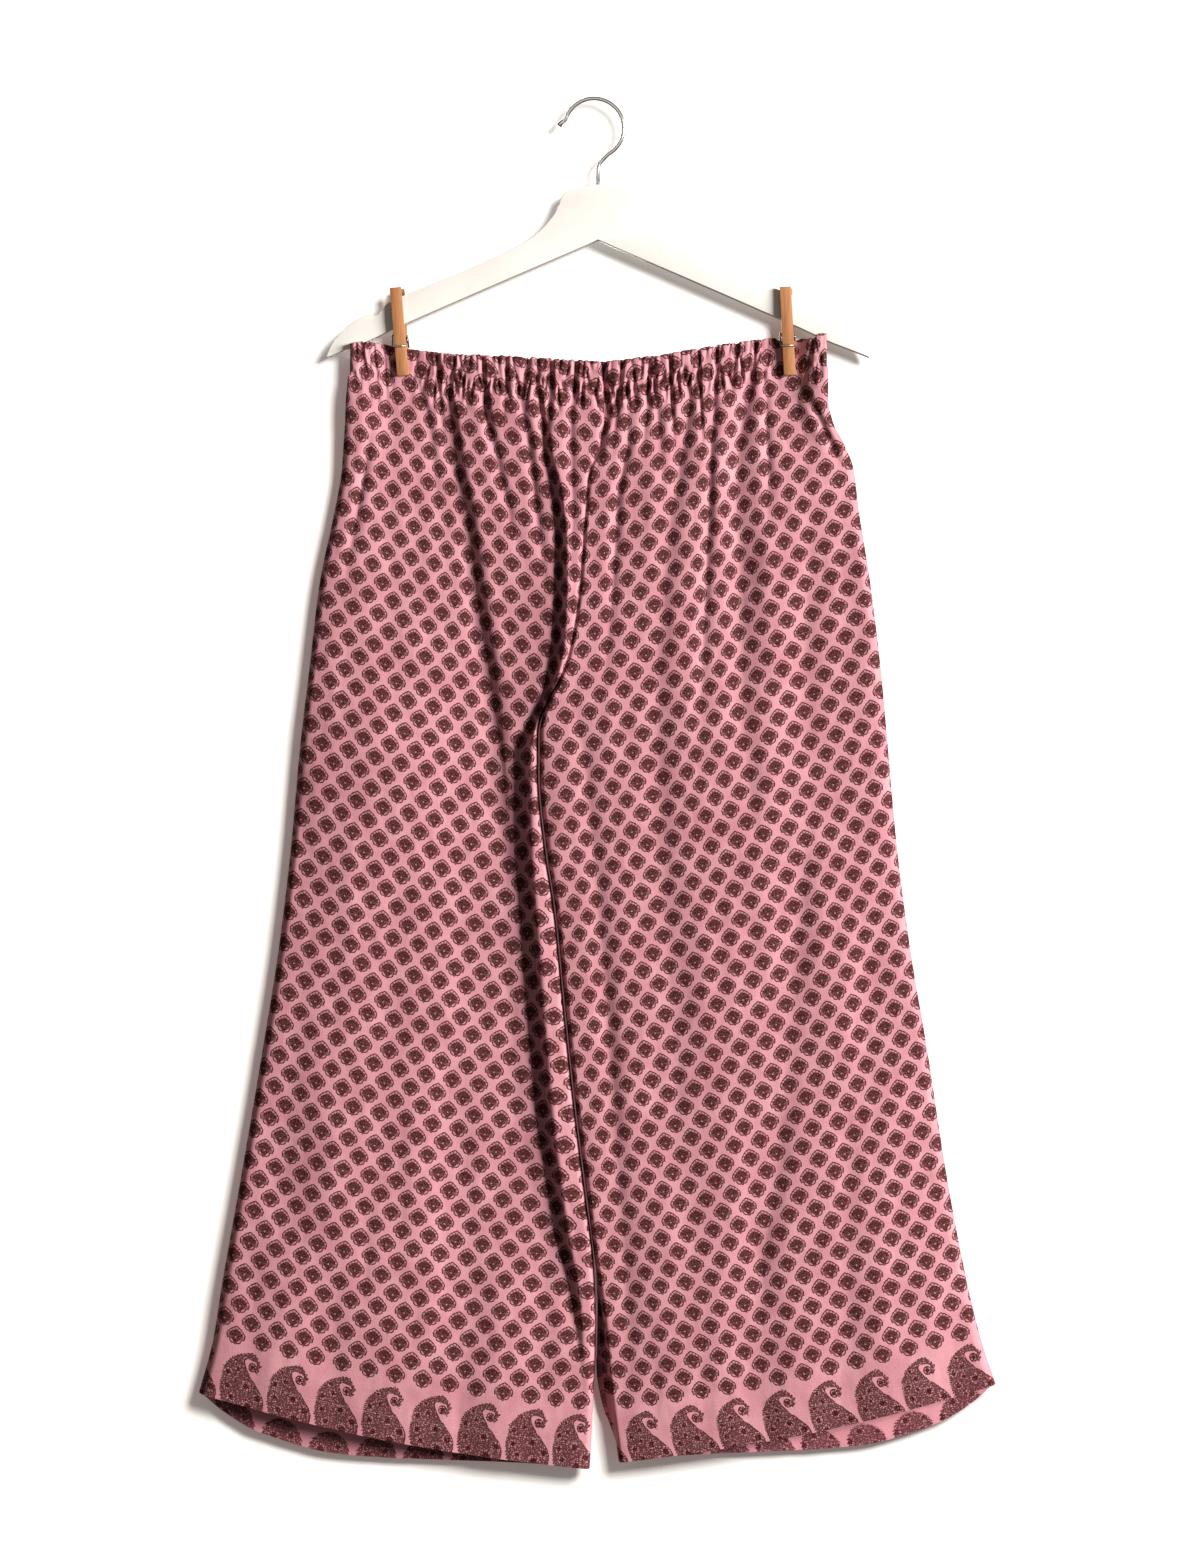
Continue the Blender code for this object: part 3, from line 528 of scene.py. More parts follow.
def leg_points(side, face, grid):
    """A leg's outer face as x, depth, middle, z and the depth before its edges turn in, with rows from the waist
    and columns from the side seam."""
    columns, rows = grid
    toward = 1 if side == "left" else -1
    down = (np.arange(rows + 1) / rows) ** ROW_CROWDING
    tops, edges = [], []
    for table, across in ((SIDE_SEAMS, 0.0), (INNER_SEAMS, 1.0)):
        top_x = read_curve(table, "z", side, casing_bottom(WAIST_ENDS[side]))
        top_z = casing_bottom(top_x)
        edge_z = top_z + (hem_z(side, face, across) - top_z) * down
        tops.append(top_x)
        edges.append((read_curve(table, "z", side, edge_z), edge_z))
    (outer_x, _), (inner_x, inner_z) = edges
    width = np.abs(inner_x - outer_x)
    inward = distance_in(columns, width, LEG_ROLL, INNER_ROLL)
    across = inward / width[:, None]
    x = outer_x[:, None] + toward * inward
    waist_x = tops[0] + (tops[1] - tops[0]) * across
    waist_z = casing_bottom(waist_x)
    z = waist_z + (hem_z(side, face, across) - waist_z) * down[:, None]
    depth = leg_depth(face, across, x, z, waist_z)
    flat = leg_depth(face, across, x, z, waist_z, stepped=False)
    seam_depth = leg_depth(face, np.ones(rows + 1), inner_x, inner_z, waist_z[:, -1])
    inner_base = (seam_depth * (1 - between_legs(inner_z)))[:, None]
    depth = depth * roll(inward, LEG_ROLL)
    depth = inner_base + (depth - inner_base) * roll(width[:, None] - inward, INNER_ROLL)
    middle = read_curve(CASING, "x", "middle", waist_x) * (1 - below_casing(z, waist_z))
    return x, depth, middle, z, flat


def casing_points(face, grid):
    """The casing's outer face as x, depth, middle and z, with rows from the top and columns from the left."""
    columns, rows = grid
    ends = (read_curve(CASING, "x", "top", WAIST_ENDS[side]) for side in ("left", "right"))
    left, right = (read_curve(SIDE_SEAMS, "z", side, end) for side, end in zip(("left", "right"), ends))
    inward = distance_in(columns, right - left, CASING_ROLL, CASING_ROLL)
    x = np.repeat((left + inward)[None], rows + 1, 0)
    down = np.linspace(0, 1, rows + 1)[:, None] ** CASING_CROWDING
    low = casing_bottom(x)
    creases = fold_depth(GATHERS[face], x, low + CASING_HEIGHT - 1)
    top = low + CASING_HEIGHT - FRILL_HEIGHT * np.clip(creases / FRILL_FULL, 0, 1)
    uneven = EDGE_SWELL["share"] * swell(face, EDGE_SWELL["stretch"] * x, 0 * x)
    top = top + (BACK_RISE if face == "back" else 0) + uneven
    z = top + (low - top) * down
    puff = np.sin(np.pi * down) ** CASING_PUFF["power"] * read_curve(CASING, "x", "gather", x)
    depth = read_curve(CASING, "x", "spread", x) + CASING_PUFF["size"] * puff
    depth = no_thinner(depth - pressed_in(face, x, z, low) + SWELL_AT_WAIST * swell(face, x, z))
    lip = roll(down * CASING_HEIGHT, CASING_LIP["roll"])
    depth = depth * (CASING_LIP["least"] + (1 - CASING_LIP["least"]) * lip)
    depth = depth * roll(np.minimum(inward, right - left - inward), CASING_ROLL)
    return x, depth, read_curve(CASING, "x", "middle", x), z


def running_total(values, at):
    """The area under a line of values, summed from its first place on."""
    return np.concatenate(([0], np.cumsum((values[1:] + values[:-1]) / 2 * np.diff(at))))


def print_drift(side, z):
    """How far a column of the print has drifted to +X at a height, and the length of it from low down."""
    lean = np.radians(read_curve(PRINT_LEAN, "z", side, PRINT_HEIGHTS))
    toward = 1 if side == "left" else -1
    across = running_total(np.tan(lean), PRINT_HEIGHTS)
    along = running_total(1 / np.cos(lean), PRINT_HEIGHTS)
    drift = np.interp(z, PRINT_HEIGHTS, across) - np.interp(PRINT_LEVEL, PRINT_HEIGHTS, across)
    return toward * drift, np.interp(z, PRINT_HEIGHTS, along)


def print_hem(side, face, x):
    """The hem's height under a column of the print, also past the leg's edges."""
    hem = hem_row(side)
    return hem_z(side, face, (x - hem["outer_x"]) / (hem["inner_x"] - hem["outer_x"]))


def tucked(x, z):
    """Cloth that small tucks along the left leg's inner hem hide, up to each place."""
    amount = HEM_TUCK["amount"] * smooth((HEM_TUCK["top"] - z) / HEM_TUCK["blend"])
    return amount * smooth((x - HEM_TUCK["start"]) / HEM_TUCK["run"])


def gathered_cloth(side, x, z):
    """How much cloth the gathering hides between the anchor column and each place."""
    places, rows = GATHERED[side]
    levels, shares = np.array([row[0] for row in rows[::-1]]), np.array([row[1] for row in rows[::-1]])
    share = [np.interp(z, levels, shares[:, column]) for column in range(len(places))]
    total = np.cumsum(np.interp(PRINT_WIDTH, places, share))
    return np.interp(x, PRINT_WIDTH, total) - np.interp(PRINT_ANCHOR[side], PRINT_WIDTH, total)


def hidden_cloth(side, x, depth, z):
    """How far the print is drawn together: by the gathering, and over each crease, beside which it is let out."""
    drawn = np.zeros(np.shape(x))
    window = np.exp(-0.5 * (np.arange(-CREASE_WINDOW, CREASE_WINDOW + 1) / CREASE_REACH) ** 2)
    window = window / window.sum()
    for row in range(len(x)):
        line = np.argsort(x[row])
        step = np.diff(x[row][line])
        spare = np.hypot(step, HIDDEN_SHARE * np.diff(depth[row][line])) - step
        level = z[row].mean()
        gathered = gathered_cloth(side, x[row], level)
        most = max(LEAST_HIDDEN * step.sum(), np.ptp(gathered))
        spare = spare * min(1, most / spare.sum())
        total = np.interp(PRINT_WIDTH, x[row][line], np.concatenate(([0], np.cumsum(spare))))
        even = np.convolve(np.pad(total, CREASE_WINDOW, mode="edge"), window, mode="valid")
        drawn[row] = np.interp(x[row], PRINT_WIDTH, total - even) + gathered
        if side == "left":
            drawn[row] += tucked(x[row], level)
    return drawn


def print_place(side, face, x, depth, z):
    """Where each point lies on the flat cloth: in the print's repeat, and along and above the hem."""
    drift, length = print_drift(side, z)
    start = x - drift
    foot = start + print_drift(side, print_hem(side, face, start))[0]
    up = length - print_drift(side, print_hem(side, face, foot))[1]
    lengths = np.hypot(np.diff(HEM_LENGTH), np.diff(print_hem(side, "front", HEM_LENGTH)))
    arc = np.concatenate(([0], np.cumsum(lengths)))
    across = np.interp(foot, HEM_LENGTH, arc - np.interp(0, HEM_LENGTH, arc))
    across = across + hidden_cloth(side, x, depth, z)
    up = up + PRINT_STRETCH[side] * np.maximum(up - PRINT_STRETCH_FROM, 0)
    shift_across, shift_up = PRINT_SHIFT[side]
    across = -across if face == "back" else across
    return np.stack((across - shift_across, up + shift_up, across, up), axis=-1)


def link(made, *materials):
    for material in materials:
        made.data.materials.append(material)
    bpy.context.scene.collection.objects.link(made)
    return made


def finish_mesh(name, shape, *materials):
    """A smooth-shaded object from a bmesh, which is freed."""
    mesh = bpy.data.meshes.new(name)
    shape.to_mesh(mesh)
    shape.free()
    mesh.shade_smooth()
    return link(bpy.data.objects.new(name, mesh), *materials)


def cloth_mesh(name, place, uvs, grid, wall):
    """A grid of cloth laid out by arrays of rows and columns, with a wall inside it."""
    columns, rows = grid
    shape = bmesh.new()
    bmesh.ops.create_grid(shape, x_segments=columns, y_segments=rows, size=0.5)
    made = finish_mesh(name, shape, CLOTH, CLOTH_INSIDE)
    mesh = made.data
    corners = np.empty(len(mesh.vertices) * 3)
    mesh.vertices.foreach_get("co", corners)
    corners = corners.reshape(-1, 3)
    column = np.rint((corners[:, 0] + 0.5) * columns).astype(int)
    row = np.rint((0.5 - corners[:, 1]) * rows).astype(int)
    mesh.vertices.foreach_set("co", (place[row, column] * MM).ravel())
    loops = np.empty(len(mesh.loops), int)
    mesh.loops.foreach_get("vertex_index", loops)
    faces = np.repeat(np.arange(len(mesh.polygons)), 4)
    middle = np.zeros(len(mesh.polygons))
    np.add.at(middle, faces, place[row, column, 0][loops] / 4)
    spots = uvs[0][row[loops], column[loops]]
    if len(uvs) > 1:
        past = middle[faces] > CENTRE_X
        spots[past] = uvs[1][row[loops], column[loops]][past]
    for layer, values in (("print", spots[:, :2]), ("sewing", spots[:, 2:])):
        mesh.uv_layers.new(name=layer).data.foreach_set("uv", (values * MM).ravel())
    ends = np.empty(len(mesh.edges) * 2, int)
    mesh.edges.foreach_get("vertices", ends)
    border = np.stack((row == 0, row == rows, column == 0, column == columns), axis=-1)[ends.reshape(-1, 2)]
    mesh.edges.foreach_set("use_edge_sharp", border.all(axis=1).any(axis=1))
    mesh.update()
    solidify = made.modifiers.new("wall", "SOLIDIFY")
    solidify.thickness = wall * MM
    solidify.offset = -1
    solidify.material_offset = 1
    solidify.material_offset_rim = 0
    return made


def build_leg(side, face):
    grid = FRONT_GRID if face == "front" else BACK_GRID
    x, depth, middle, z, flat = leg_points(side, face, grid)
    outward = -1 if face == "front" else 1
    uv = print_place(side, face, x, flat, z)
    if face == "back":
        toward = 1 if side == "left" else -1
        past = np.clip(toward * (x[:, -1:] - x) / GAP_BULGE_REACH, 0, 1)
        x = x + toward * read_curve(GAP_BULGE, "z", side, z) * np.sin(np.pi * past)
    place = np.stack((x, middle + outward * depth, z), axis=-1)
    if (side == "left") != (face == "front"):
        place, uv = place[:, ::-1], uv[:, ::-1]
    return cloth_mesh(f"{face}_leg_{side}_cloth", place, (uv,), grid, CLOTH_WALL)


def build_casing(face):
    x, depth, middle, z = casing_points(face, CASING_GRID)
    outward = -1 if face == "front" else 1
    place = np.stack((x, middle + outward * depth, z), axis=-1)
    uvs = [print_place(side, face, x, depth, z) for side in ("left", "right")]
    if face == "back":
        place, uvs = place[:, ::-1], [uv[:, ::-1] for uv in uvs]
    return cloth_mesh(f"waistband_{face}_cloth", place, uvs, CASING_GRID, CASING_WALL)


# ---------------------------------------------------------------------------------------------------------
# Materials
# ---------------------------------------------------------------------------------------------------------


def hex_colour(code):
    """An sRGB hex colour as linear red, green, blue and alpha."""
    parts = [int(code[place : place + 2], 16) / 255 for place in (0, 2, 4)]
    return (*[part / 12.92 if part <= 0.04045 else ((part + 0.055) / 1.055) ** 2.4 for part in parts], 1.0)


def add_node(tree, name, kind, *values, **named):
    """Adds a node. A kind in capitals is a step of arithmetic. The values go to its inputs in turn, and None leaves
    one as it is. A name in lower case is a setting, and one with a capital is an input. A value that is a string
    is the name of an earlier node, with its output after a dot."""
    if kind == "SMOOTHSTEP":
        kind, named = "MapRange", {"interpolation_type": kind}
    elif kind.isupper():
        kind, named = "Math", {"operation": kind}
    node = tree.nodes.new(f"ShaderNode{kind}")
    node.name = name
    for key, value in named.items():
        if key == "curve":
            curve = node.mapping.curves[0]
            for place, height in value[1:-1]:
                curve.points.new(place, height)
            ends = curve.points[0], curve.points[len(curve.points) - 1]
            ends[0].location, ends[1].location = value[0], value[-1]
            for point in curve.points:
                point.handle_type = "AUTO_CLAMPED"
            node.mapping.update()
        elif key == "ramp":
            while len(node.color_ramp.elements) < len(value):
                node.color_ramp.elements.new(0.5)
            for element, (place, colour) in zip(node.color_ramp.elements, value):
                element.position, element.color = place, hex_colour(colour)
        elif key[0].islower():
            setattr(node, key, value)
    inputs = [*enumerate(values), *((key, value) for key, value in named.items() if key[0].isupper())]
    for key, value in inputs:
        if isinstance(value, str):
            source, _, output = value.partition(".")
            output = int(output) if output.isdigit() else output or 0
            tree.links.new(tree.nodes[source].outputs[output], node.inputs[key])
        elif value is not None:
            node.inputs[key].default_value = value


def new_material(name):
    """An empty material, and the function that adds nodes to it."""
    material = bpy.data.materials.new(name)
    material.use_nodes = True
    material.node_tree.nodes.clear()
    return material, partial(add_node, material.node_tree)


# The print: the field's repeat and where it begins above the hem, then the border's pitch, where its first cone
# begins, and how far the cones run past the hem's edge.
REPEAT_ACROSS, REPEAT_UP = 22.1, 25.5
FIELD_START = 47.0
BORDER_PITCH = 39.3
BORDER_START = -3.0
BORDER_RISE = 3.6

# The motif's outlines, as the distance from its middle by the turn from its top, 0, to its foot, 1.
MOTIF_SIZE = 10.0  # what the distances are multiplied by
MOTIF_EDGE = (
    (0.0, 0.79), (0.07, 0.73), (0.15, 0.69), (0.3, 0.68), (0.4, 0.74), (0.47, 0.78), (0.51, 0.79), (0.56, 0.77),
    (0.615, 0.79), (0.645, 0.72), (0.675, 0.64), (0.74, 0.68), (0.81, 0.72), (0.88, 0.71), (0.945, 0.68),
    (0.97, 0.72), (1.0, 0.78),
)
MOTIF_CORE = (
    (0.0, 0.42), (0.12, 0.42), (0.3, 0.46), (0.42, 0.54), (0.5, 0.53), (0.56, 0.46), (0.66, 0.42), (0.8, 0.4),
    (0.9, 0.5), (1.0, 0.58),
)
MOTIF_DOTS = ((0.0, 0.6), (0.151, 0.53), (0.302, 0.555), (0.453, 0.63), (1.0, 0.63))
DOT_TURN = 0.151  # from one dot of the ring to the next
RING_END = 0.52  # past this turn the ring has no dots

# The border's cone: how far across its edges lie by the height above the hem, both as shares of its size.
CONE_SIZE = 50.0
CONE_LEFT = (
    (0.0, 0.06), (0.12, 0.025), (0.3, 0.0), (0.4, 0.018), (0.5, 0.024), (0.6, 0.044), (0.66, 0.088), (0.74, 0.15),
    (0.81, 0.25), (0.856, 0.36), (0.885, 0.44), (1.0, 0.6),
)
CONE_RIGHT = (
    (0.0, 0.742), (0.1, 0.748), (0.2, 0.724), (0.276, 0.676), (0.35, 0.612), (0.43, 0.55), (0.48, 0.486),
    (0.53, 0.46), (0.6, 0.412), (0.68, 0.374), (0.73, 0.364), (0.762, 0.4), (0.778, 0.57), (0.81, 0.565),
    (0.85, 0.51), (0.885, 0.43), (1.0, 0.4),
)
TIP_INNER = (
    (0.0, 0.7), (0.556, 0.57), (0.6, 0.535), (0.66, 0.535), (0.706, 0.558), (0.74, 0.545), (0.776, 0.42),
    (1.0, 0.42),
)
TIP_OUTER = (
    (0.0, 0.5), (0.55, 0.572), (0.61, 0.6), (0.65, 0.61), (0.694, 0.638), (0.726, 0.614), (0.79, 0.572), (1.0, 0.4),
)
CONE_TOP = 43.9  # above it the cone's tip is cut off
CONE_MIDDLE = (14.0, 19.0)
CONE_TEETH = 27.0  # for each radian about the middle
TIP_CURL = {"place": (24.6, 32.6, 0.0), "size": (3.5, 3.9, 1.0)}  # the round end of the curled tip
CONE_FOOT = {"across": 17.5, "radius": 16.5}  # the round foot that shows on the hem's turning, inside
# Flowers drawn in the cone: across from its leftmost point, up from the hem, and their radius.
CONE_FLOWERS = (
    (21.2, 16.2, 4.2), (31.9, 9.0, 4.6), (6.2, 13.8, 3.5), (5.4, 24.6, 3.4), (13.6, 28.4, 3.0), (24.6, 32.6, 2.8),
    (24.4, 0.8, 5.4), (12.6, 20.0, 2.6), (18.6, 37.0, 2.6), (10.4, 5.0, 3.6), (10.6, 35.6, 2.2),
)
# The hem's turning and its row of stitches, above the hem, and the share of a stitch's length that shows.
HEM_TURNING = 21.0
STITCH_LINE = 20.2
STITCH_LENGTH = 2.5
STITCH_SHARE = 0.72


def draw_field(add):
    """Nodes for the field's ink: small fans on a lattice, the nearest of two staggered sets. A mask's name begins
    with m_, and its two numbers are where what it measures gives 0 and where 1."""
    for row in (
        ("p", "DIVIDE", "spot.X", REPEAT_ACROSS), ("q", "DIVIDE", "spot.Y", REPEAT_UP),
        ("pr", "ROUND", "p"), ("qr", "ROUND", "q"), ("pa", "SUBTRACT", "p", "pr"), ("qa", "SUBTRACT", "q", "qr"),
        ("ps", "SIGN", "pa"), ("qs", "SIGN", "qa"), ("pm", "ABSOLUTE", "pa"), ("qm", "ABSOLUTE", "qa"),
        ("sum", "ADD", "pm", "qm"), ("other", "GREATER_THAN", "sum", 0.5), ("half", "MULTIPLY", "other", 0.5),
        ("ph", "MULTIPLY", "ps", "half"), ("qh", "MULTIPLY", "qs", "half"),
        ("pc", "SUBTRACT", "pa", "ph"), ("qc", "SUBTRACT", "qa", "qh"),
        ("x_signed", "MULTIPLY", "pc", REPEAT_ACROSS), ("x", "ABSOLUTE", "x_signed"),
        ("y", "MULTIPLY", "qc", REPEAT_UP), ("centre_up", "SUBTRACT", "spot.Y", "y"),
        ("in_field", "GREATER_THAN", "centre_up", FIELD_START), ("xx", "MULTIPLY", "x", "x"),
        ("yy", "MULTIPLY", "y", "y"), ("rr", "ADD", "xx", "yy"), ("r", "SQRT", "rr"),
        ("angle", "ARCTAN2", "x", "y"), ("turn", "DIVIDE", "angle", math.pi),
    ):
        add(*row)
    for label, curve in (("edge", MOTIF_EDGE), ("core", MOTIF_CORE), ("dots", MOTIF_DOTS)):
        add(f"{label}_share", "FloatCurve", curve=curve, Value="turn")
        add(f"{label}_r", "MULTIPLY", f"{label}_share", MOTIF_SIZE)
        add(f"{label}_in", "SUBTRACT", f"{label}_r", "r")
    # light spots: the seed in the middle, the two petals at the foot, and the wings
    add("local", "CombineXYZ", "x", "y")
    for label, place, tilt, size in (
        ("seed", (0.0, -1.4, 0.0), 0.0, (0.7, 0.6, 1.0)),
        ("petal", (2.9, -4.6, 0.0), -48.0, (0.55, 1.5, 1.0)),
        ("wing", (4.2, -1.15, 0.0), 8.0, (2.1, 0.42, 1.0)),
    ):
        tilted = (0.0, 0.0, math.radians(tilt))
        add(f"{label}_at", "Mapping", "local", place, tilted, size, vector_type="TEXTURE")
        add(f"{label}_d", "VectorMath", f"{label}_at", operation="LENGTH")
        add(f"m_{label}", "SMOOTHSTEP", f"{label}_d.Value", 1.35, 0.7)
    # a ring of dots, how far away the nearest is, the masks, and what pales or darkens the ink
    for row in (
        ("dot_turn", "PINGPONG", "turn", DOT_TURN / 2), ("dot_arc0", "MULTIPLY", "dot_turn", math.pi),
        ("dot_arc", "MULTIPLY", "dot_arc0", "r"), ("dot_off", "ABSOLUTE", "dots_in"),
        ("dot_a2", "MULTIPLY", "dot_arc", "dot_arc"), ("dot_b2", "MULTIPLY", "dot_off", "dot_off"),
        ("dot_d2", "ADD", "dot_a2", "dot_b2"), ("dot_d", "SQRT", "dot_d2"),
        ("dot_upper", "LESS_THAN", "turn", RING_END), ("ring_share0", "MULTIPLY", "dot_upper", 0.04),
        ("ring_share", "ADD", "ring_share0", 0.24),
        ("m_motif", "SMOOTHSTEP", "edge_in", -0.15, 0.25), ("m_ring", "SMOOTHSTEP", "edge_in", 0.75, 1.25),
        ("m_core", "SMOOTHSTEP", "core_in", -0.6, 0.3), ("m_speckle", "SMOOTHSTEP", "speckle", 0.46, 0.62),
        ("m_line_in", "SMOOTHSTEP", "edge_in", 0.65, 1.05), ("m_line_out", "SMOOTHSTEP", "edge_in", 2.0, 1.5),
        ("m_dot0", "SMOOTHSTEP", "dot_d", 1.0, 0.45), ("m_dot", "MULTIPLY", "m_dot0", "dot_upper"),
        ("ring_pale", "MULTIPLY", "m_ring", "ring_share"), ("m_line", "MULTIPLY", "m_line_in", "m_line_out"),
        ("line_pale", "MULTIPLY", "m_line", 0.14), ("ink_a0", "SUBTRACT", 1.0, "ring_pale"),
        ("ink_a", "SUBTRACT", "ink_a0", "line_pale"), ("core_dark", "MULTIPLY", "m_core", 0.7),
        ("ink_b", "ADD", "ink_a", "core_dark"), ("ink_b1", "MINIMUM", "ink_b", 1.0),
        ("dot_light", "MULTIPLY", "m_dot", 0.58), ("seed_light", "MULTIPLY", "m_seed", 0.65),
        ("petal_light", "MULTIPLY", "m_petal", 0.6), ("wing_light", "MULTIPLY", "m_wing", 0.16),
        ("core_fleck", "MULTIPLY", "m_core", "m_speckle"), ("fleck_light", "MULTIPLY", "core_fleck", 0.18),
        ("ink_c0", "SUBTRACT", "ink_b1", "dot_light"), ("ink_c", "SUBTRACT", "ink_c0", "fleck_light"),
        ("ink_d", "SUBTRACT", "ink_c", "seed_light"), ("ink_e", "SUBTRACT", "ink_d", "petal_light"),
        ("ink_f", "SUBTRACT", "ink_e", "wing_light"), ("ink_g", "MAXIMUM", "ink_f", 0.12),
        ("ink_h", "MULTIPLY", "ink_g", "m_motif"), ("field_ink", "MULTIPLY", "ink_h", "in_field"),
    ):
        add(*row)


def draw_border(add, turned):
    """Nodes for the border's ink: a row of cones with curled tips, their edges small-toothed."""
    for row in (
        ("cone_y", "ADD", "spot.Y", BORDER_RISE), ("cone_u0", "SUBTRACT", "spot.X", BORDER_START),
        ("cone_cell", "DIVIDE", "cone_u0", BORDER_PITCH), ("cone_frac", "FRACT", "cone_cell"),
        ("cone_u", "MULTIPLY", "cone_frac", BORDER_PITCH), ("cone_v", "DIVIDE", "cone_y", CONE_SIZE),
        ("middle_u", "SUBTRACT", "cone_u", CONE_MIDDLE[0]), ("middle_v", "SUBTRACT", "cone_y", CONE_MIDDLE[1]),
        ("tooth_angle", "ARCTAN2", "middle_v", "middle_u"), ("tooth_run", "MULTIPLY", "tooth_angle", CONE_TEETH),
        ("tooth_sine", "SINE", "tooth_run"), ("tooth_wave", "ABSOLUTE", "tooth_sine"),
        ("tooth_size", "MULTIPLY", "teeth", 3.3), ("tooth0", "MULTIPLY", "tooth_wave", "tooth_size"),
        ("tooth", "SUBTRACT", "tooth0", 1.0),
    ):
        add(*row)
    edges = (("left", CONE_LEFT), ("right", CONE_RIGHT), ("tip_in", TIP_INNER), ("tip_out", TIP_OUTER))
    for label, curve in edges:
        add(f"{label}_share", "FloatCurve", curve=curve, Value="cone_v")
        add(f"{label}_mm", "MULTIPLY", f"{label}_share", CONE_SIZE)
    add("cone_place", "CombineXYZ", "cone_u", "cone_y")
    add("curl_at", "Mapping", "cone_place", TIP_CURL["place"], None, TIP_CURL["size"], vector_type="TEXTURE")
    add("curl_d", "VectorMath", "curl_at", operation="LENGTH")
    add("foot_place", "CombineXYZ", "cone_u", "sewing.Y")
    add("foot_d", "VectorMath", "foot_place", (CONE_FOOT["across"], 0.0, 0.0), operation="DISTANCE")
    # flowers in the cone, each a dark heart in a ring of beads
    for label, (across, up, radius) in enumerate(CONE_FLOWERS):
        add(f"flower{label}", "VectorMath", "cone_place", (across, up, 0.0), operation="DISTANCE")
        add(f"petals{label}", "DIVIDE", f"flower{label}.Value", radius)
        add(f"nearest{label}", "MINIMUM", f"petals{label}", f"nearest{label - 1}" if label else "petals0")
    flowers = f"nearest{len(CONE_FLOWERS) - 1}"
    add("beads", "TexVoronoi", voronoi_dimensions="2D", Vector="wandered", Scale=0.56, Randomness=0.8)
    for row in (
        ("in_left0", "SUBTRACT", "cone_u", "left_mm"), ("in_right", "SUBTRACT", "right_mm", "cone_u"),
        ("in_left", "ADD", "in_left0", "tooth"), ("body_in", "MINIMUM", "in_left", "in_right"),
        ("tip_a", "SUBTRACT", "cone_u", "tip_in_mm"), ("tip_b0", "SUBTRACT", "tip_out_mm", "cone_u"),
        ("tip_b", "ADD", "tip_b0", "tooth"), ("tip_in", "MINIMUM", "tip_a", "tip_b"),
        ("above_top0", "SUBTRACT", CONE_TOP, "cone_y"), ("above_top", "ADD", "above_top0", "tooth"),
        ("curl_in0", "SUBTRACT", 1.0, "curl_d.Value"), ("curl_in", "MULTIPLY", "curl_in0", TIP_CURL["size"][0]),
        ("cone_in0", "MAXIMUM", "body_in", "tip_in"), ("cone_in1", "MAXIMUM", "cone_in0", "curl_in"),
        ("cone_in2", "MINIMUM", "cone_in1", "above_top"), ("near_hem", "LESS_THAN", "sewing.Y", HEM_TURNING),
        ("turning", "MULTIPLY", "near_hem", turned), ("foot_in0", "SUBTRACT", CONE_FOOT["radius"], "foot_d.Value"),
        ("foot_in1", "ADD", "foot_in0", "tooth"), ("foot_change", "SUBTRACT", "foot_in1", "cone_in2"),
        ("foot_share", "MULTIPLY", "foot_change", "turning"), ("cone_in", "ADD", "cone_in2", "foot_share"),
        ("m_cone", "SMOOTHSTEP", "cone_in", -0.2, 0.35), ("m_rim", "SMOOTHSTEP", "cone_in", 1.1, 0.5),
        ("m_heart", "SMOOTHSTEP", flowers, 0.56, 0.40), ("m_halo", "SMOOTHSTEP", flowers, 0.52, 0.72),
        ("m_halo_end", "SMOOTHSTEP", flowers, 1.12, 0.95), ("m_bead", "SMOOTHSTEP", "beads.Distance", 0.40, 0.20),
        ("halo", "MULTIPLY", "m_halo", "m_halo_end"), ("halo_bead", "MULTIPLY", "halo", "m_bead"),
        ("bead_mottled", "MULTIPLY", "m_bead", "m_speckle"), ("heart_dark", "MULTIPLY", "m_heart", 0.4),
        ("bead_light", "MULTIPLY", "bead_mottled", 0.8), ("halo_light", "MULTIPLY", "halo_bead", 0.6),
        ("rim_dark", "MULTIPLY", "m_rim", 0.3), ("cone_a", "ADD", "heart_dark", 0.9),
        ("cone_b", "SUBTRACT", "cone_a", "bead_light"), ("cone_c", "SUBTRACT", "cone_b", "halo_light"),
        ("cone_d", "ADD", "cone_c", "rim_dark"), ("cone_e", "MINIMUM", "cone_d", 1.0),
        ("border_ink", "MULTIPLY", "cone_e", "m_cone"),
    ):
        add(*row)


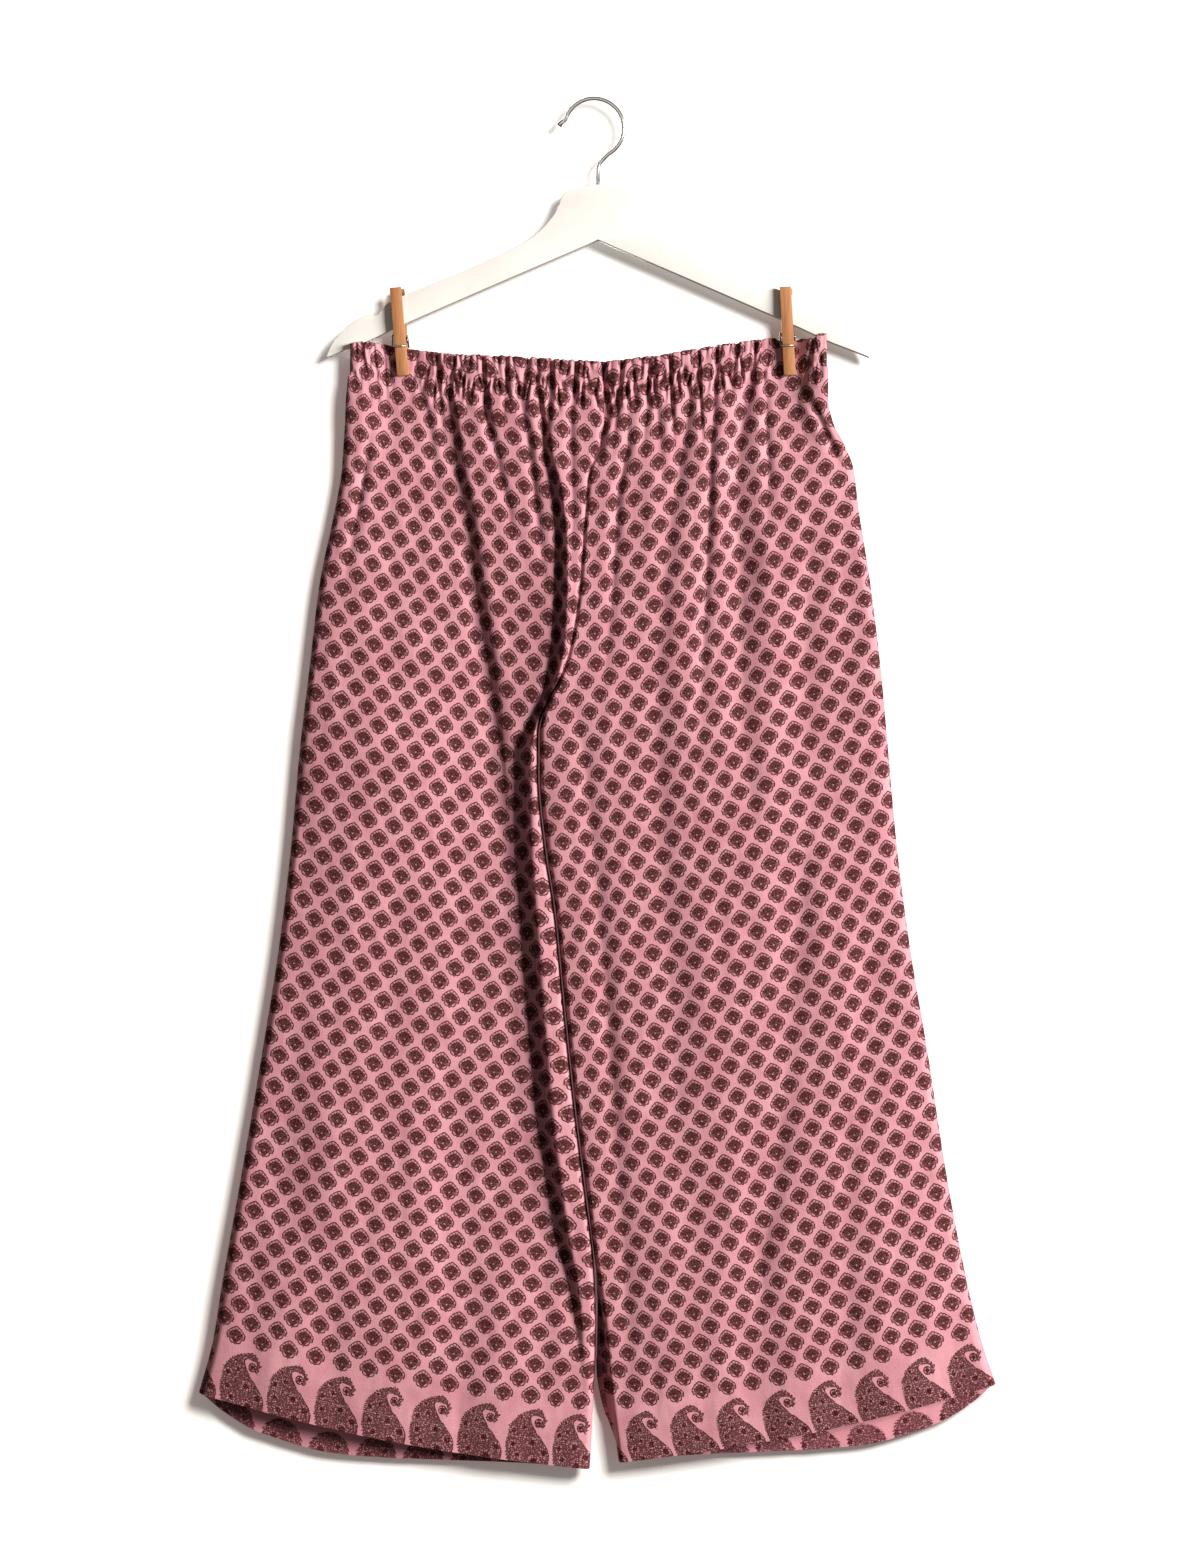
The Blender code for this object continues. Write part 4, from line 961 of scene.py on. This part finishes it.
def printed_cloth(name, ground, ink, ghost, turned):
    """Printed viscose crepe, plain woven and matt, with a slightly mottled ground. Ghost is how much the print
    pales above the hem, as on the cloth's inside, where turned is 1: the hem's turning shows the cones' feet."""
    material, add = new_material(name)
    flat_noise = {"noise_dimensions": "2D", "Vector": "mm"}
    add("uv", "UVMap", uv_map="print")
    add("mm", "VectorMath", "uv", operation="SCALE", Scale=1000.0)
    # the block's hand-cut edges wander a little
    add("wander", "TexNoise", Scale=0.9, Detail=1.0, **flat_noise)
    add("centred", "VectorMath", "wander.Color", (0.5, 0.5, 0.5), operation="SUBTRACT")
    add("wandered", "VectorMath", "centred", (0.7, 0.7, 0.0), "mm", operation="MULTIPLY_ADD")
    add("spot", "SeparateXYZ", "wandered")
    add("sewing_uv", "UVMap", uv_map="sewing")
    add("sewing_mm", "VectorMath", "sewing_uv", operation="SCALE", Scale=1000.0)
    add("sewing", "SeparateXYZ", "sewing_mm")
    add("speckle", "TexNoise", Scale=0.9, Detail=2.0, Roughness=0.7, **flat_noise)
    add("teeth", "TexNoise", Scale=0.5, Detail=1.0, Roughness=0.6, **flat_noise)
    draw_field(add)
    draw_border(add, turned)
    for row in (
        ("any_ink", "MAXIMUM", "field_ink", "border_ink"), ("ghosting", "SUBTRACT", 1.0, "near_hem"),
        ("ghosted", "MULTIPLY", "ghosting", ghost), ("left_ink", "SUBTRACT", 1.0, "ghosted"),
        ("ink", "MULTIPLY", "any_ink", "left_ink"),
        # the hem's stitches, worked in a paler thread
        ("hem_off0", "SUBTRACT", "sewing.Y", STITCH_LINE), ("hem_off", "ABSOLUTE", "hem_off0"),
        ("stitch_run", "MULTIPLY", "sewing.X", 1 / STITCH_LENGTH), ("stitch_frac", "FRACT", "stitch_run"),
        ("stitch_gap", "LESS_THAN", "stitch_frac", STITCH_SHARE), ("hem_line", "SMOOTHSTEP", "hem_off", 0.65, 0.3),
        ("stitch", "MULTIPLY", "hem_line", "stitch_gap"), ("stitch_soft", "MULTIPLY", "stitch", 0.22),
        ("stitch_dent", "MULTIPLY", "hem_line", -0.8),
    ):
        add(*row)
    # the ground is mottled, and the ink a little uneven
    add("mottle", "TexNoise", Scale=0.035, Detail=3.0, Roughness=0.6, **flat_noise)
    add("grain", "TexNoise", Scale=1.1, Detail=2.0, Roughness=0.6, **flat_noise)
    add("ground", "ValToRGB", "mottle", ramp=tuple(zip((0.3, 0.7), ground)))
    add("ground_grain", "MapRange", "grain", 0.3, 0.7, 0.88, 1.12)
    add("ground_scaled", "VectorMath", "ground", operation="SCALE", Scale="ground_grain")
    add("ink_colour", "ValToRGB", "grain", ramp=tuple(zip((0.3, 0.7), ink)))
    skipped = [None] * 5  # the mixing node's inputs for other kinds of data
    add("colour", "Mix", "ink", *skipped, "ground_scaled", "ink_colour", data_type="RGBA")
    add("stitched", "Mix", "stitch_soft", *skipped, "colour.2", hex_colour("B89A9A"), data_type="RGBA")
    # the weave: threads 1.6 mm apart, drawn coarser than the real 0.3 mm so that they show
    add("warp", "TexWave", bands_direction="X", Vector="mm", Scale=0.2, Distortion=0.6, Detail=1.0)
    add("weft", "TexWave", bands_direction="Y", Vector="mm", Scale=0.2, Distortion=0.6, Detail=1.0)
    add("crepe", "TexNoise", Scale=0.5, Detail=3.0, Roughness=0.7, **flat_noise)
    add("weave", "ADD", "warp", "weft")
    add("weave_small", "MULTIPLY", "weave", 0.12)
    add("woven", "ADD", "weave_small", "crepe")
    add("height", "ADD", "woven", "stitch_dent")
    add("bump", "Bump", Strength=0.35, Distance=0.0004, Height="height")
    add("rough", "MapRange", "crepe", 0.3, 0.7, 0.66, 0.82)
    inputs = {
        "Base Color": "stitched.2",
        "Roughness": "rough",
        "Specular IOR Level": 0.08,
        "Sheen Weight": 0.03,
        "Sheen Roughness": 0.45,
        "Sheen Tint": hex_colour("E8B4BA"),
        "Normal": "bump",
    }
    add("shader", "BsdfPrincipled", **inputs)
    add("out", "OutputMaterial", "shader")
    return material


def white_paint():
    """Satin lacquer sprayed on beech: smooth, with a faint orange peel."""
    material, add = new_material("white_satin_lacquer")
    add("place", "TexCoord")
    add("peel", "TexNoise", Vector="place.Object", Scale=420.0, Detail=2.0)
    add("cloudy", "TexNoise", Vector="place.Object", Scale=14.0, Detail=3.0)
    add("tone", "ValToRGB", "cloudy", ramp=((0.3, "D6D2CD"), (0.7, "DDDAD6")))
    add("rough", "MapRange", "cloudy", 0.3, 0.7, 0.28, 0.4)
    add("bump", "Bump", Strength=0.12, Distance=0.0003, Height="peel")
    inputs = {"Base Color": "tone", "Roughness": "rough", "Normal": "bump", "Coat Weight": 0.25, "Coat Roughness": 0.2}
    add("shader", "BsdfPrincipled", **inputs)
    add("out", "OutputMaterial", "shader")
    return material


def steel_wire(name, shade, rough):
    """Drawn steel wire, bright: mirror-like with fine scuffs."""
    material, add = new_material(name)
    add("place", "TexCoord")
    add("scuffs", "TexNoise", Vector="place.Object", Scale=900.0, Detail=3.0)
    add("rough", "MapRange", "scuffs", 0.3, 0.7, rough * 0.7, rough * 1.4)
    add("bump", "Bump", Strength=0.05, Distance=0.0002, Height="scuffs")
    inputs = {"Base Color": hex_colour(shade), "Metallic": 1.0, "Roughness": "rough", "Normal": "bump"}
    add("shader", "BsdfPrincipled", **inputs)
    add("out", "OutputMaterial", "shader")
    return material


def beech():
    """Sawn beech, unvarnished: long fine grain and short darker flecks."""
    material, add = new_material("plain_beech")
    add("place", "TexCoord")
    add("along", "Mapping", Vector="place.Object", Scale=(1.0, 1.0, 0.06))
    add("grain", "TexNoise", Vector="along", Scale=900.0, Detail=4.0, Roughness=0.6)
    add("bands", "TexNoise", Vector="along", Scale=240.0, Detail=2.0)
    add("flecked", "Mapping", Vector="place.Object", Scale=(1.0, 1.0, 0.25))
    add("flecks", "TexVoronoi", Vector="flecked", Scale=1400.0)
    add("base", "ValToRGB", "bands", ramp=((0.25, "97603A"), (0.5, "AA7349"), (0.8, "BA8358")))
    add("lines", "MapRange", "grain", 0.35, 0.7, 0.82, 1.08)
    add("fleck", "MapRange", "flecks.Distance", 0.05, 0.3, 0.8, 1.0)
    add("both", "MULTIPLY", "lines", "fleck")
    add("colour", "VectorMath", "base", operation="SCALE", Scale="both")
    add("bump", "Bump", Strength=0.3, Distance=0.0003, Height="grain")
    inputs = {"Base Color": "colour", "Roughness": 0.58, "Normal": "bump", "Specular IOR Level": 0.35}
    add("shader", "BsdfPrincipled", **inputs)
    add("out", "OutputMaterial", "shader")
    return material


CLOTH = printed_cloth("printed_viscose_crepe", ("AF767F", "BB858D"), ("2E0907", "401410"), 0.0, 0.0)
CLOTH_INSIDE = printed_cloth("viscose_crepe_inside", ("B97B84", "C38791"), ("401719", "4C1E21"), 0.35, 1.0)
LACQUER = white_paint()
CHROME = steel_wire("nickel_plated_steel", "B9B7B4", 0.2)
SPRING_STEEL = steel_wire("drawn_spring_steel", "8E8A84", 0.3)
BEECH = beech()

# ---------------------------------------------------------------------------------------------------------
# The hanger and the pegs
# ---------------------------------------------------------------------------------------------------------

HANGER_X = 3.2
HANGER_THICK = 10
HANGER_EDGE = 2.4
HANGER_OUTLINE = {
    "columns": ("out", "z"),
    "rows": (
        (0.0, -68.7), (14.0, -70.6), (27.0, -75.2), (31.5, -84.9), (37.0, -95.0), (53.0, -111.0), (90.0, -130.5),
        (157.0, -158.5), (171.0, -165.5), (176.5, -172.8), (181.5, -175.2), (187.0, -173.8), (198.0, -180.0),
        (210.0, -190.6), (217.0, -200.6), (220.5, -209.0), (202.0, -201.6), (188.0, -196.2), (157.0, -181.8),
        (70.0, -143.8), (23.0, -123.6), (0.0, -113.5),
    ),
}
HANGER_CORNERS = (15, 21)
HANGER_STEPS = 8  # from one point of the outline to the next
HOOK_WIRE = 1.6
HOOK_BEND = 24.1
HOOK_TAIL_ANGLE = 163
HOOK_LEAVE_ANGLE = -62
HOOK_ARC_STEPS = 64
HOOK_TAIL = ((-28.6, -21.0), (-26.6, -18.2))
HOOK_KNOB = 1.5
HOOK_STEM = ((7.6, -47.6), (4.6, -51.2), (3.2, -55.5), (3.2, -82))
PEG_WIDTH = 9.4
PEG_ROUND = 0.45
PEG_SHARP = 35  # degrees from which an edge of the wood stays crisp
PEG_BACK_LEAN = -1.6  # the back leg doesn't quite line up with the front one
PEGS = {
    "columns": ("name", "jaw_x", "jaw_z", "lean_degrees"),
    "rows": (("left", -154.7, -223.8, 4.9), ("right", 158.6, -223.4, 3.0)),
}
PEG_LEG = {
    "columns": ("out", "up"),
    "rows": (
        (3.5, 0.0), (3.5, 25.0), (4.2, 28.4), (4.9, 30.4), (4.9, 33.0), (5.5, 35.2), (5.5, 40.0), (7.2, 71.0),
        (7.8, 71.6), (10.2, 71.0), (11.0, 46.0), (10.4, 26.0), (9.8, 24.6), (8.8, 23.5), (9.6, 22.4), (9.2, 20.0),
        (7.6, 1.0), (6.8, 0.0),
    ),
}
SPRING_WIRE = 0.75
SPRING_COIL = 2.7
SPRING_UP = 32.0
SPRING_TURNS = 3
SPRING_STEPS = 20
SPRING_HALF_WIDTH = 6.1
SPRING_BEND = 1.2
SPRING_CROSS = (10.1, 23.5)


def rounded_outline(points, corners, steps):
    """A smooth closed line through points, with the named ones left sharp."""
    count = len(points)
    line = []
    for place in range(count):
        before, start, end, after = (Vector(points[(place + step) % count]) for step in (-1, 0, 1, 2))
        leave = (end - start) if place in corners else (end - before) / 2
        arrive = (end - start) if (place + 1) % count in corners else (after - start) / 2
        reach = (end - start).length
        leave, arrive = leave.normalized() * reach, arrive.normalized() * reach
        line += [hermite(start, leave, end, arrive, step / steps) for step in range(steps)]
    return line


def slab(outline, sweep, rounding, segments):
    """A board with the outline, in metres, swept through its thickness, with its rims rounded."""
    shape = bmesh.new()
    side = shape.faces.new([shape.verts.new(place) for place in outline])
    swept = bmesh.ops.extrude_face_region(shape, geom=[side])
    moved = [item for item in swept["geom"] if isinstance(item, bmesh.types.BMVert)]
    bmesh.ops.translate(shape, verts=moved, vec=sweep)
    bmesh.ops.recalc_face_normals(shape, faces=shape.faces)
    along = Vector(sweep)
    rims = [edge for edge in shape.edges if abs((edge.verts[0].co - edge.verts[1].co).dot(along)) < 1e-9]
    bmesh.ops.bevel(
        shape,
        geom=rims,
        offset=rounding * MM,
        segments=segments,
        profile=0.5,
        affect="EDGES",
        clamp_overlap=True,
        material=-1,
    )
    return shape


def build_hanger():
    half = [(row["out"], row["z"]) for row in rows_of(HANGER_OUTLINE)]
    loop = half + [(-out, z) for out, z in reversed(half[1:-1])]
    corners = set(HANGER_CORNERS) | {len(loop) - HANGER_CORNERS[0]}
    line = rounded_outline(loop, corners, HANGER_STEPS)
    outline = [((HANGER_X + place.x) * MM, -HANGER_THICK / 2 * MM, place.y * MM) for place in line]
    return finish_mesh("hanger_wood", slab(outline, (0, HANGER_THICK * MM, 0), HANGER_EDGE, 4), LACQUER)


def wire(name, points, radius, sizes, material, matrix=None):
    """Round wire along points, with closed ends, as a mesh."""
    curve = bpy.data.curves.new(name, "CURVE")
    curve.dimensions = "3D"
    curve.bevel_depth = radius * MM
    curve.bevel_resolution = 6
    curve.use_fill_caps = True
    spline = curve.splines.new("POLY")
    spline.points.add(len(points) - 1)
    for knot, place, size in zip(spline.points, points, sizes):
        knot.co = (*(Vector(place) * MM), 1)
        knot.radius = size
    holder = bpy.data.objects.new(name, curve)
    bpy.context.scene.collection.objects.link(holder)
    mesh = bpy.data.meshes.new_from_object(holder.evaluated_get(bpy.context.evaluated_depsgraph_get()))
    bpy.data.objects.remove(holder)
    shape = bmesh.new()
    shape.from_mesh(mesh)
    bpy.data.meshes.remove(mesh)
    bmesh.ops.remove_doubles(shape, verts=shape.verts, dist=0.00001)
    bmesh.ops.recalc_face_normals(shape, faces=shape.faces)
    if matrix:
        bmesh.ops.transform(shape, matrix=matrix, verts=shape.verts)
    return finish_mesh(name, shape, material)


def build_hook():
    centre_z = HOOK_WIRE - HOOK_BEND
    points = [(x, 0, z) for x, z in HOOK_TAIL]
    turn = HOOK_LEAVE_ANGLE - HOOK_TAIL_ANGLE
    for step in range(HOOK_ARC_STEPS + 1):
        angle = math.radians(HOOK_TAIL_ANGLE + turn * step / HOOK_ARC_STEPS)
        points.append((HOOK_BEND * math.cos(angle), 0, centre_z + HOOK_BEND * math.sin(angle)))
    points += [(x, 0, z) for x, z in HOOK_STEM]
    sizes = [HOOK_KNOB, 1 + (HOOK_KNOB - 1) / 3] + [1] * (len(points) - 2)
    return wire("hook_wire", points, HOOK_WIRE, sizes, CHROME)


def peg_place(peg, more_lean=0.0):
    lean = Matrix.Rotation(math.radians(-peg["lean_degrees"] - more_lean), 4, "Y")
    return Matrix.Translation((peg["jaw_x"] * MM, 0, peg["jaw_z"] * MM)) @ lean


def build_peg_leg(name, peg, front):
    sign = -1 if front else 1
    outline = [(-PEG_WIDTH / 2 * MM, sign * row["out"] * MM, row["up"] * MM) for row in rows_of(PEG_LEG)]
    shape = slab(outline, (PEG_WIDTH * MM, 0, 0), PEG_ROUND, 2)
    place = peg_place(peg, 0.0 if front else PEG_BACK_LEAN)
    bmesh.ops.transform(shape, matrix=place, verts=shape.verts)
    made = finish_mesh(name, shape, BEECH)
    made.data.set_sharp_from_angle(angle=math.radians(PEG_SHARP))
    return made


def spring_points():
    out, up = SPRING_CROSS
    half, bend = SPRING_HALF_WIDTH, SPRING_BEND
    points = [(half - bend, -out, up), (-half + bend, -out, up), (-half, -out + bend, up + bend / 2)]
    steps = SPRING_TURNS * SPRING_STEPS
    for step in range(steps + 1):
        turn = 2 * math.pi * step / SPRING_STEPS
        x = -half + 2 * half * step / steps
        points.append((x, -SPRING_COIL * math.cos(turn), SPRING_UP + SPRING_COIL * math.sin(turn)))
    return points + [(half, out - bend, up + bend / 2), (half - bend, out, up), (-half + bend, out, up)]


# ---------------------------------------------------------------------------------------------------------
# Camera, light and backdrop
# ---------------------------------------------------------------------------------------------------------

CAMERA_AWAY = 3.608
CAMERA_AIM = (0.0049, -0.5527)
CAMERA_LENS = 102.4
WALL_Y = 0.0185
WALL_LEAN = 0.1
FLOOR_Z = -1.5
BOARD_SIZE = 8.0
ROOM_LIGHT = ("FFF0E6", 0.18)
LAMP_COLOUR = "FFFCF8"

# Each light's distance, its turn to the right of the camera and its height, both in degrees, its size, its power
# and what it lights.
LIGHT_AIM = Vector((0, 0, -0.6))
LIGHTS = (
    ("garment key", 7.0, 57, 11, (3.2, 2.2), 1330, "pieces"),
    ("backdrop light", 3.5, 24, 19, (0.95, 0.95), 200, "boards"),
    ("room on the backdrop", 3.0, 0, 0, (11, 11), 75, "boards"),
    ("behind", 3.6, 195, 17, (1.6, 1.6), 110, "pieces"),
    ("front card", 3.0, -8, 10, (4.5, 4.5), 60, "metal"),
)


def build_boards():
    """Matt white boards: their backs are see-through, so the garment can be seen from behind."""
    material, add = new_material("matt_white_backdrop")
    add("side", "NewGeometry")
    add("board", "BsdfDiffuse", Color=hex_colour("F4F3F1"))
    add("clear", "BsdfTransparent")
    add("either", "MixShader", "side.Backfacing", "board", "clear")
    add("out", "OutputMaterial", "either")
    made = []
    for name, turn, place in (("backdrop", 90 + WALL_LEAN, (0, WALL_Y, 0)), ("floor", 0, (0, 0, FLOOR_Z))):
        shape = bmesh.new()
        bmesh.ops.create_grid(shape, x_segments=1, y_segments=1, size=BOARD_SIZE / 2)
        bmesh.ops.transform(shape, matrix=Matrix.Rotation(math.radians(turn), 4, "X"), verts=shape.verts)
        bmesh.ops.translate(shape, verts=shape.verts, vec=place)
        mesh = bpy.data.meshes.new(name)
        shape.to_mesh(mesh)
        shape.free()
        board = link(bpy.data.objects.new(name, mesh), material)
        board.visible_shadow = name == "floor"
        board.visible_diffuse = False
        board.visible_glossy = False
        made.append(board)
    return made


def add_light(name, away, turn, rise, size, power, receivers):
    turn, rise = math.radians(turn), math.radians(rise)
    toward = Vector((math.sin(turn) * math.cos(rise), -math.cos(turn) * math.cos(rise), math.sin(rise)))
    light = bpy.data.lights.new(name, "AREA")
    light.shape = "RECTANGLE"
    light.size, light.size_y = size
    light.energy = power
    light.color = hex_colour(LAMP_COLOUR)[:3]
    holder = bpy.data.objects.new(name, light)
    holder.location = LIGHT_AIM + toward * away
    holder.rotation_euler = (-toward).to_track_quat("-Z", "Y").to_euler()
    holder.visible_camera = False
    bpy.context.scene.collection.objects.link(holder)
    lit = bpy.data.collections.new(f"lit by {name}")
    for piece in receivers:
        lit.objects.link(piece)
    holder.light_linking.receiver_collection = lit


def set_camera():
    camera = bpy.data.objects.new("camera", bpy.data.cameras.new("camera"))
    camera.data.sensor_fit = "VERTICAL"
    camera.data.sensor_height = 36
    camera.data.lens = CAMERA_LENS
    camera.location = (CAMERA_AIM[0], -CAMERA_AWAY, CAMERA_AIM[1])
    camera.rotation_euler = (math.radians(90), 0, 0)
    bpy.context.scene.collection.objects.link(camera)
    bpy.context.scene.camera = camera
    world = bpy.data.worlds.new("studio")
    bpy.context.scene.world = world
    world.use_nodes = True
    shade = world.node_tree.nodes["Background"]
    shade.inputs["Color"].default_value = hex_colour(ROOM_LIGHT[0])
    shade.inputs["Strength"].default_value = ROOM_LIGHT[1]
    bpy.context.scene.view_settings.view_transform = "Standard"


# ---------------------------------------------------------------------------------------------------------
# Putting it together
# ---------------------------------------------------------------------------------------------------------

pieces = []


def put_on(piece, node):
    """Makes a piece stand for a node of the part: it rides on the root body, and the node is hidden."""
    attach(piece, "root")
    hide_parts(node)
    pieces.append(piece)
    return piece


set_camera()
boards = build_boards()
for face in ("front", "back"):
    casing = put_on(build_casing(face), f"waistband_{face}")
for side in ("left", "right"):
    for face in ("front", "back"):
        leg = put_on(build_leg(side, face), f"{face}_leg_{side}")
put_on(build_hanger(), "hanger_body")
metal = [put_on(build_hook(), "hanger_hook")]
for peg in rows_of(PEGS):
    base = f"peg_{peg['name']}"
    for face in ("front", "back"):
        put_on(build_peg_leg(f"{base}_{face}_wood", peg, face == "front"), f"{base}_{face}")
    coil = spring_points()
    spring = wire(f"{base}_spring_wire", coil, SPRING_WIRE, [1] * len(coil), SPRING_STEEL, peg_place(peg))
    metal.append(put_on(spring, f"{base}_spring"))
for name, away, turn, rise, size, power, receivers in LIGHTS:
    lit = {"pieces": pieces, "boards": boards, "metal": metal}[receivers]
    add_light(name, away, turn, rise, size, power, lit)
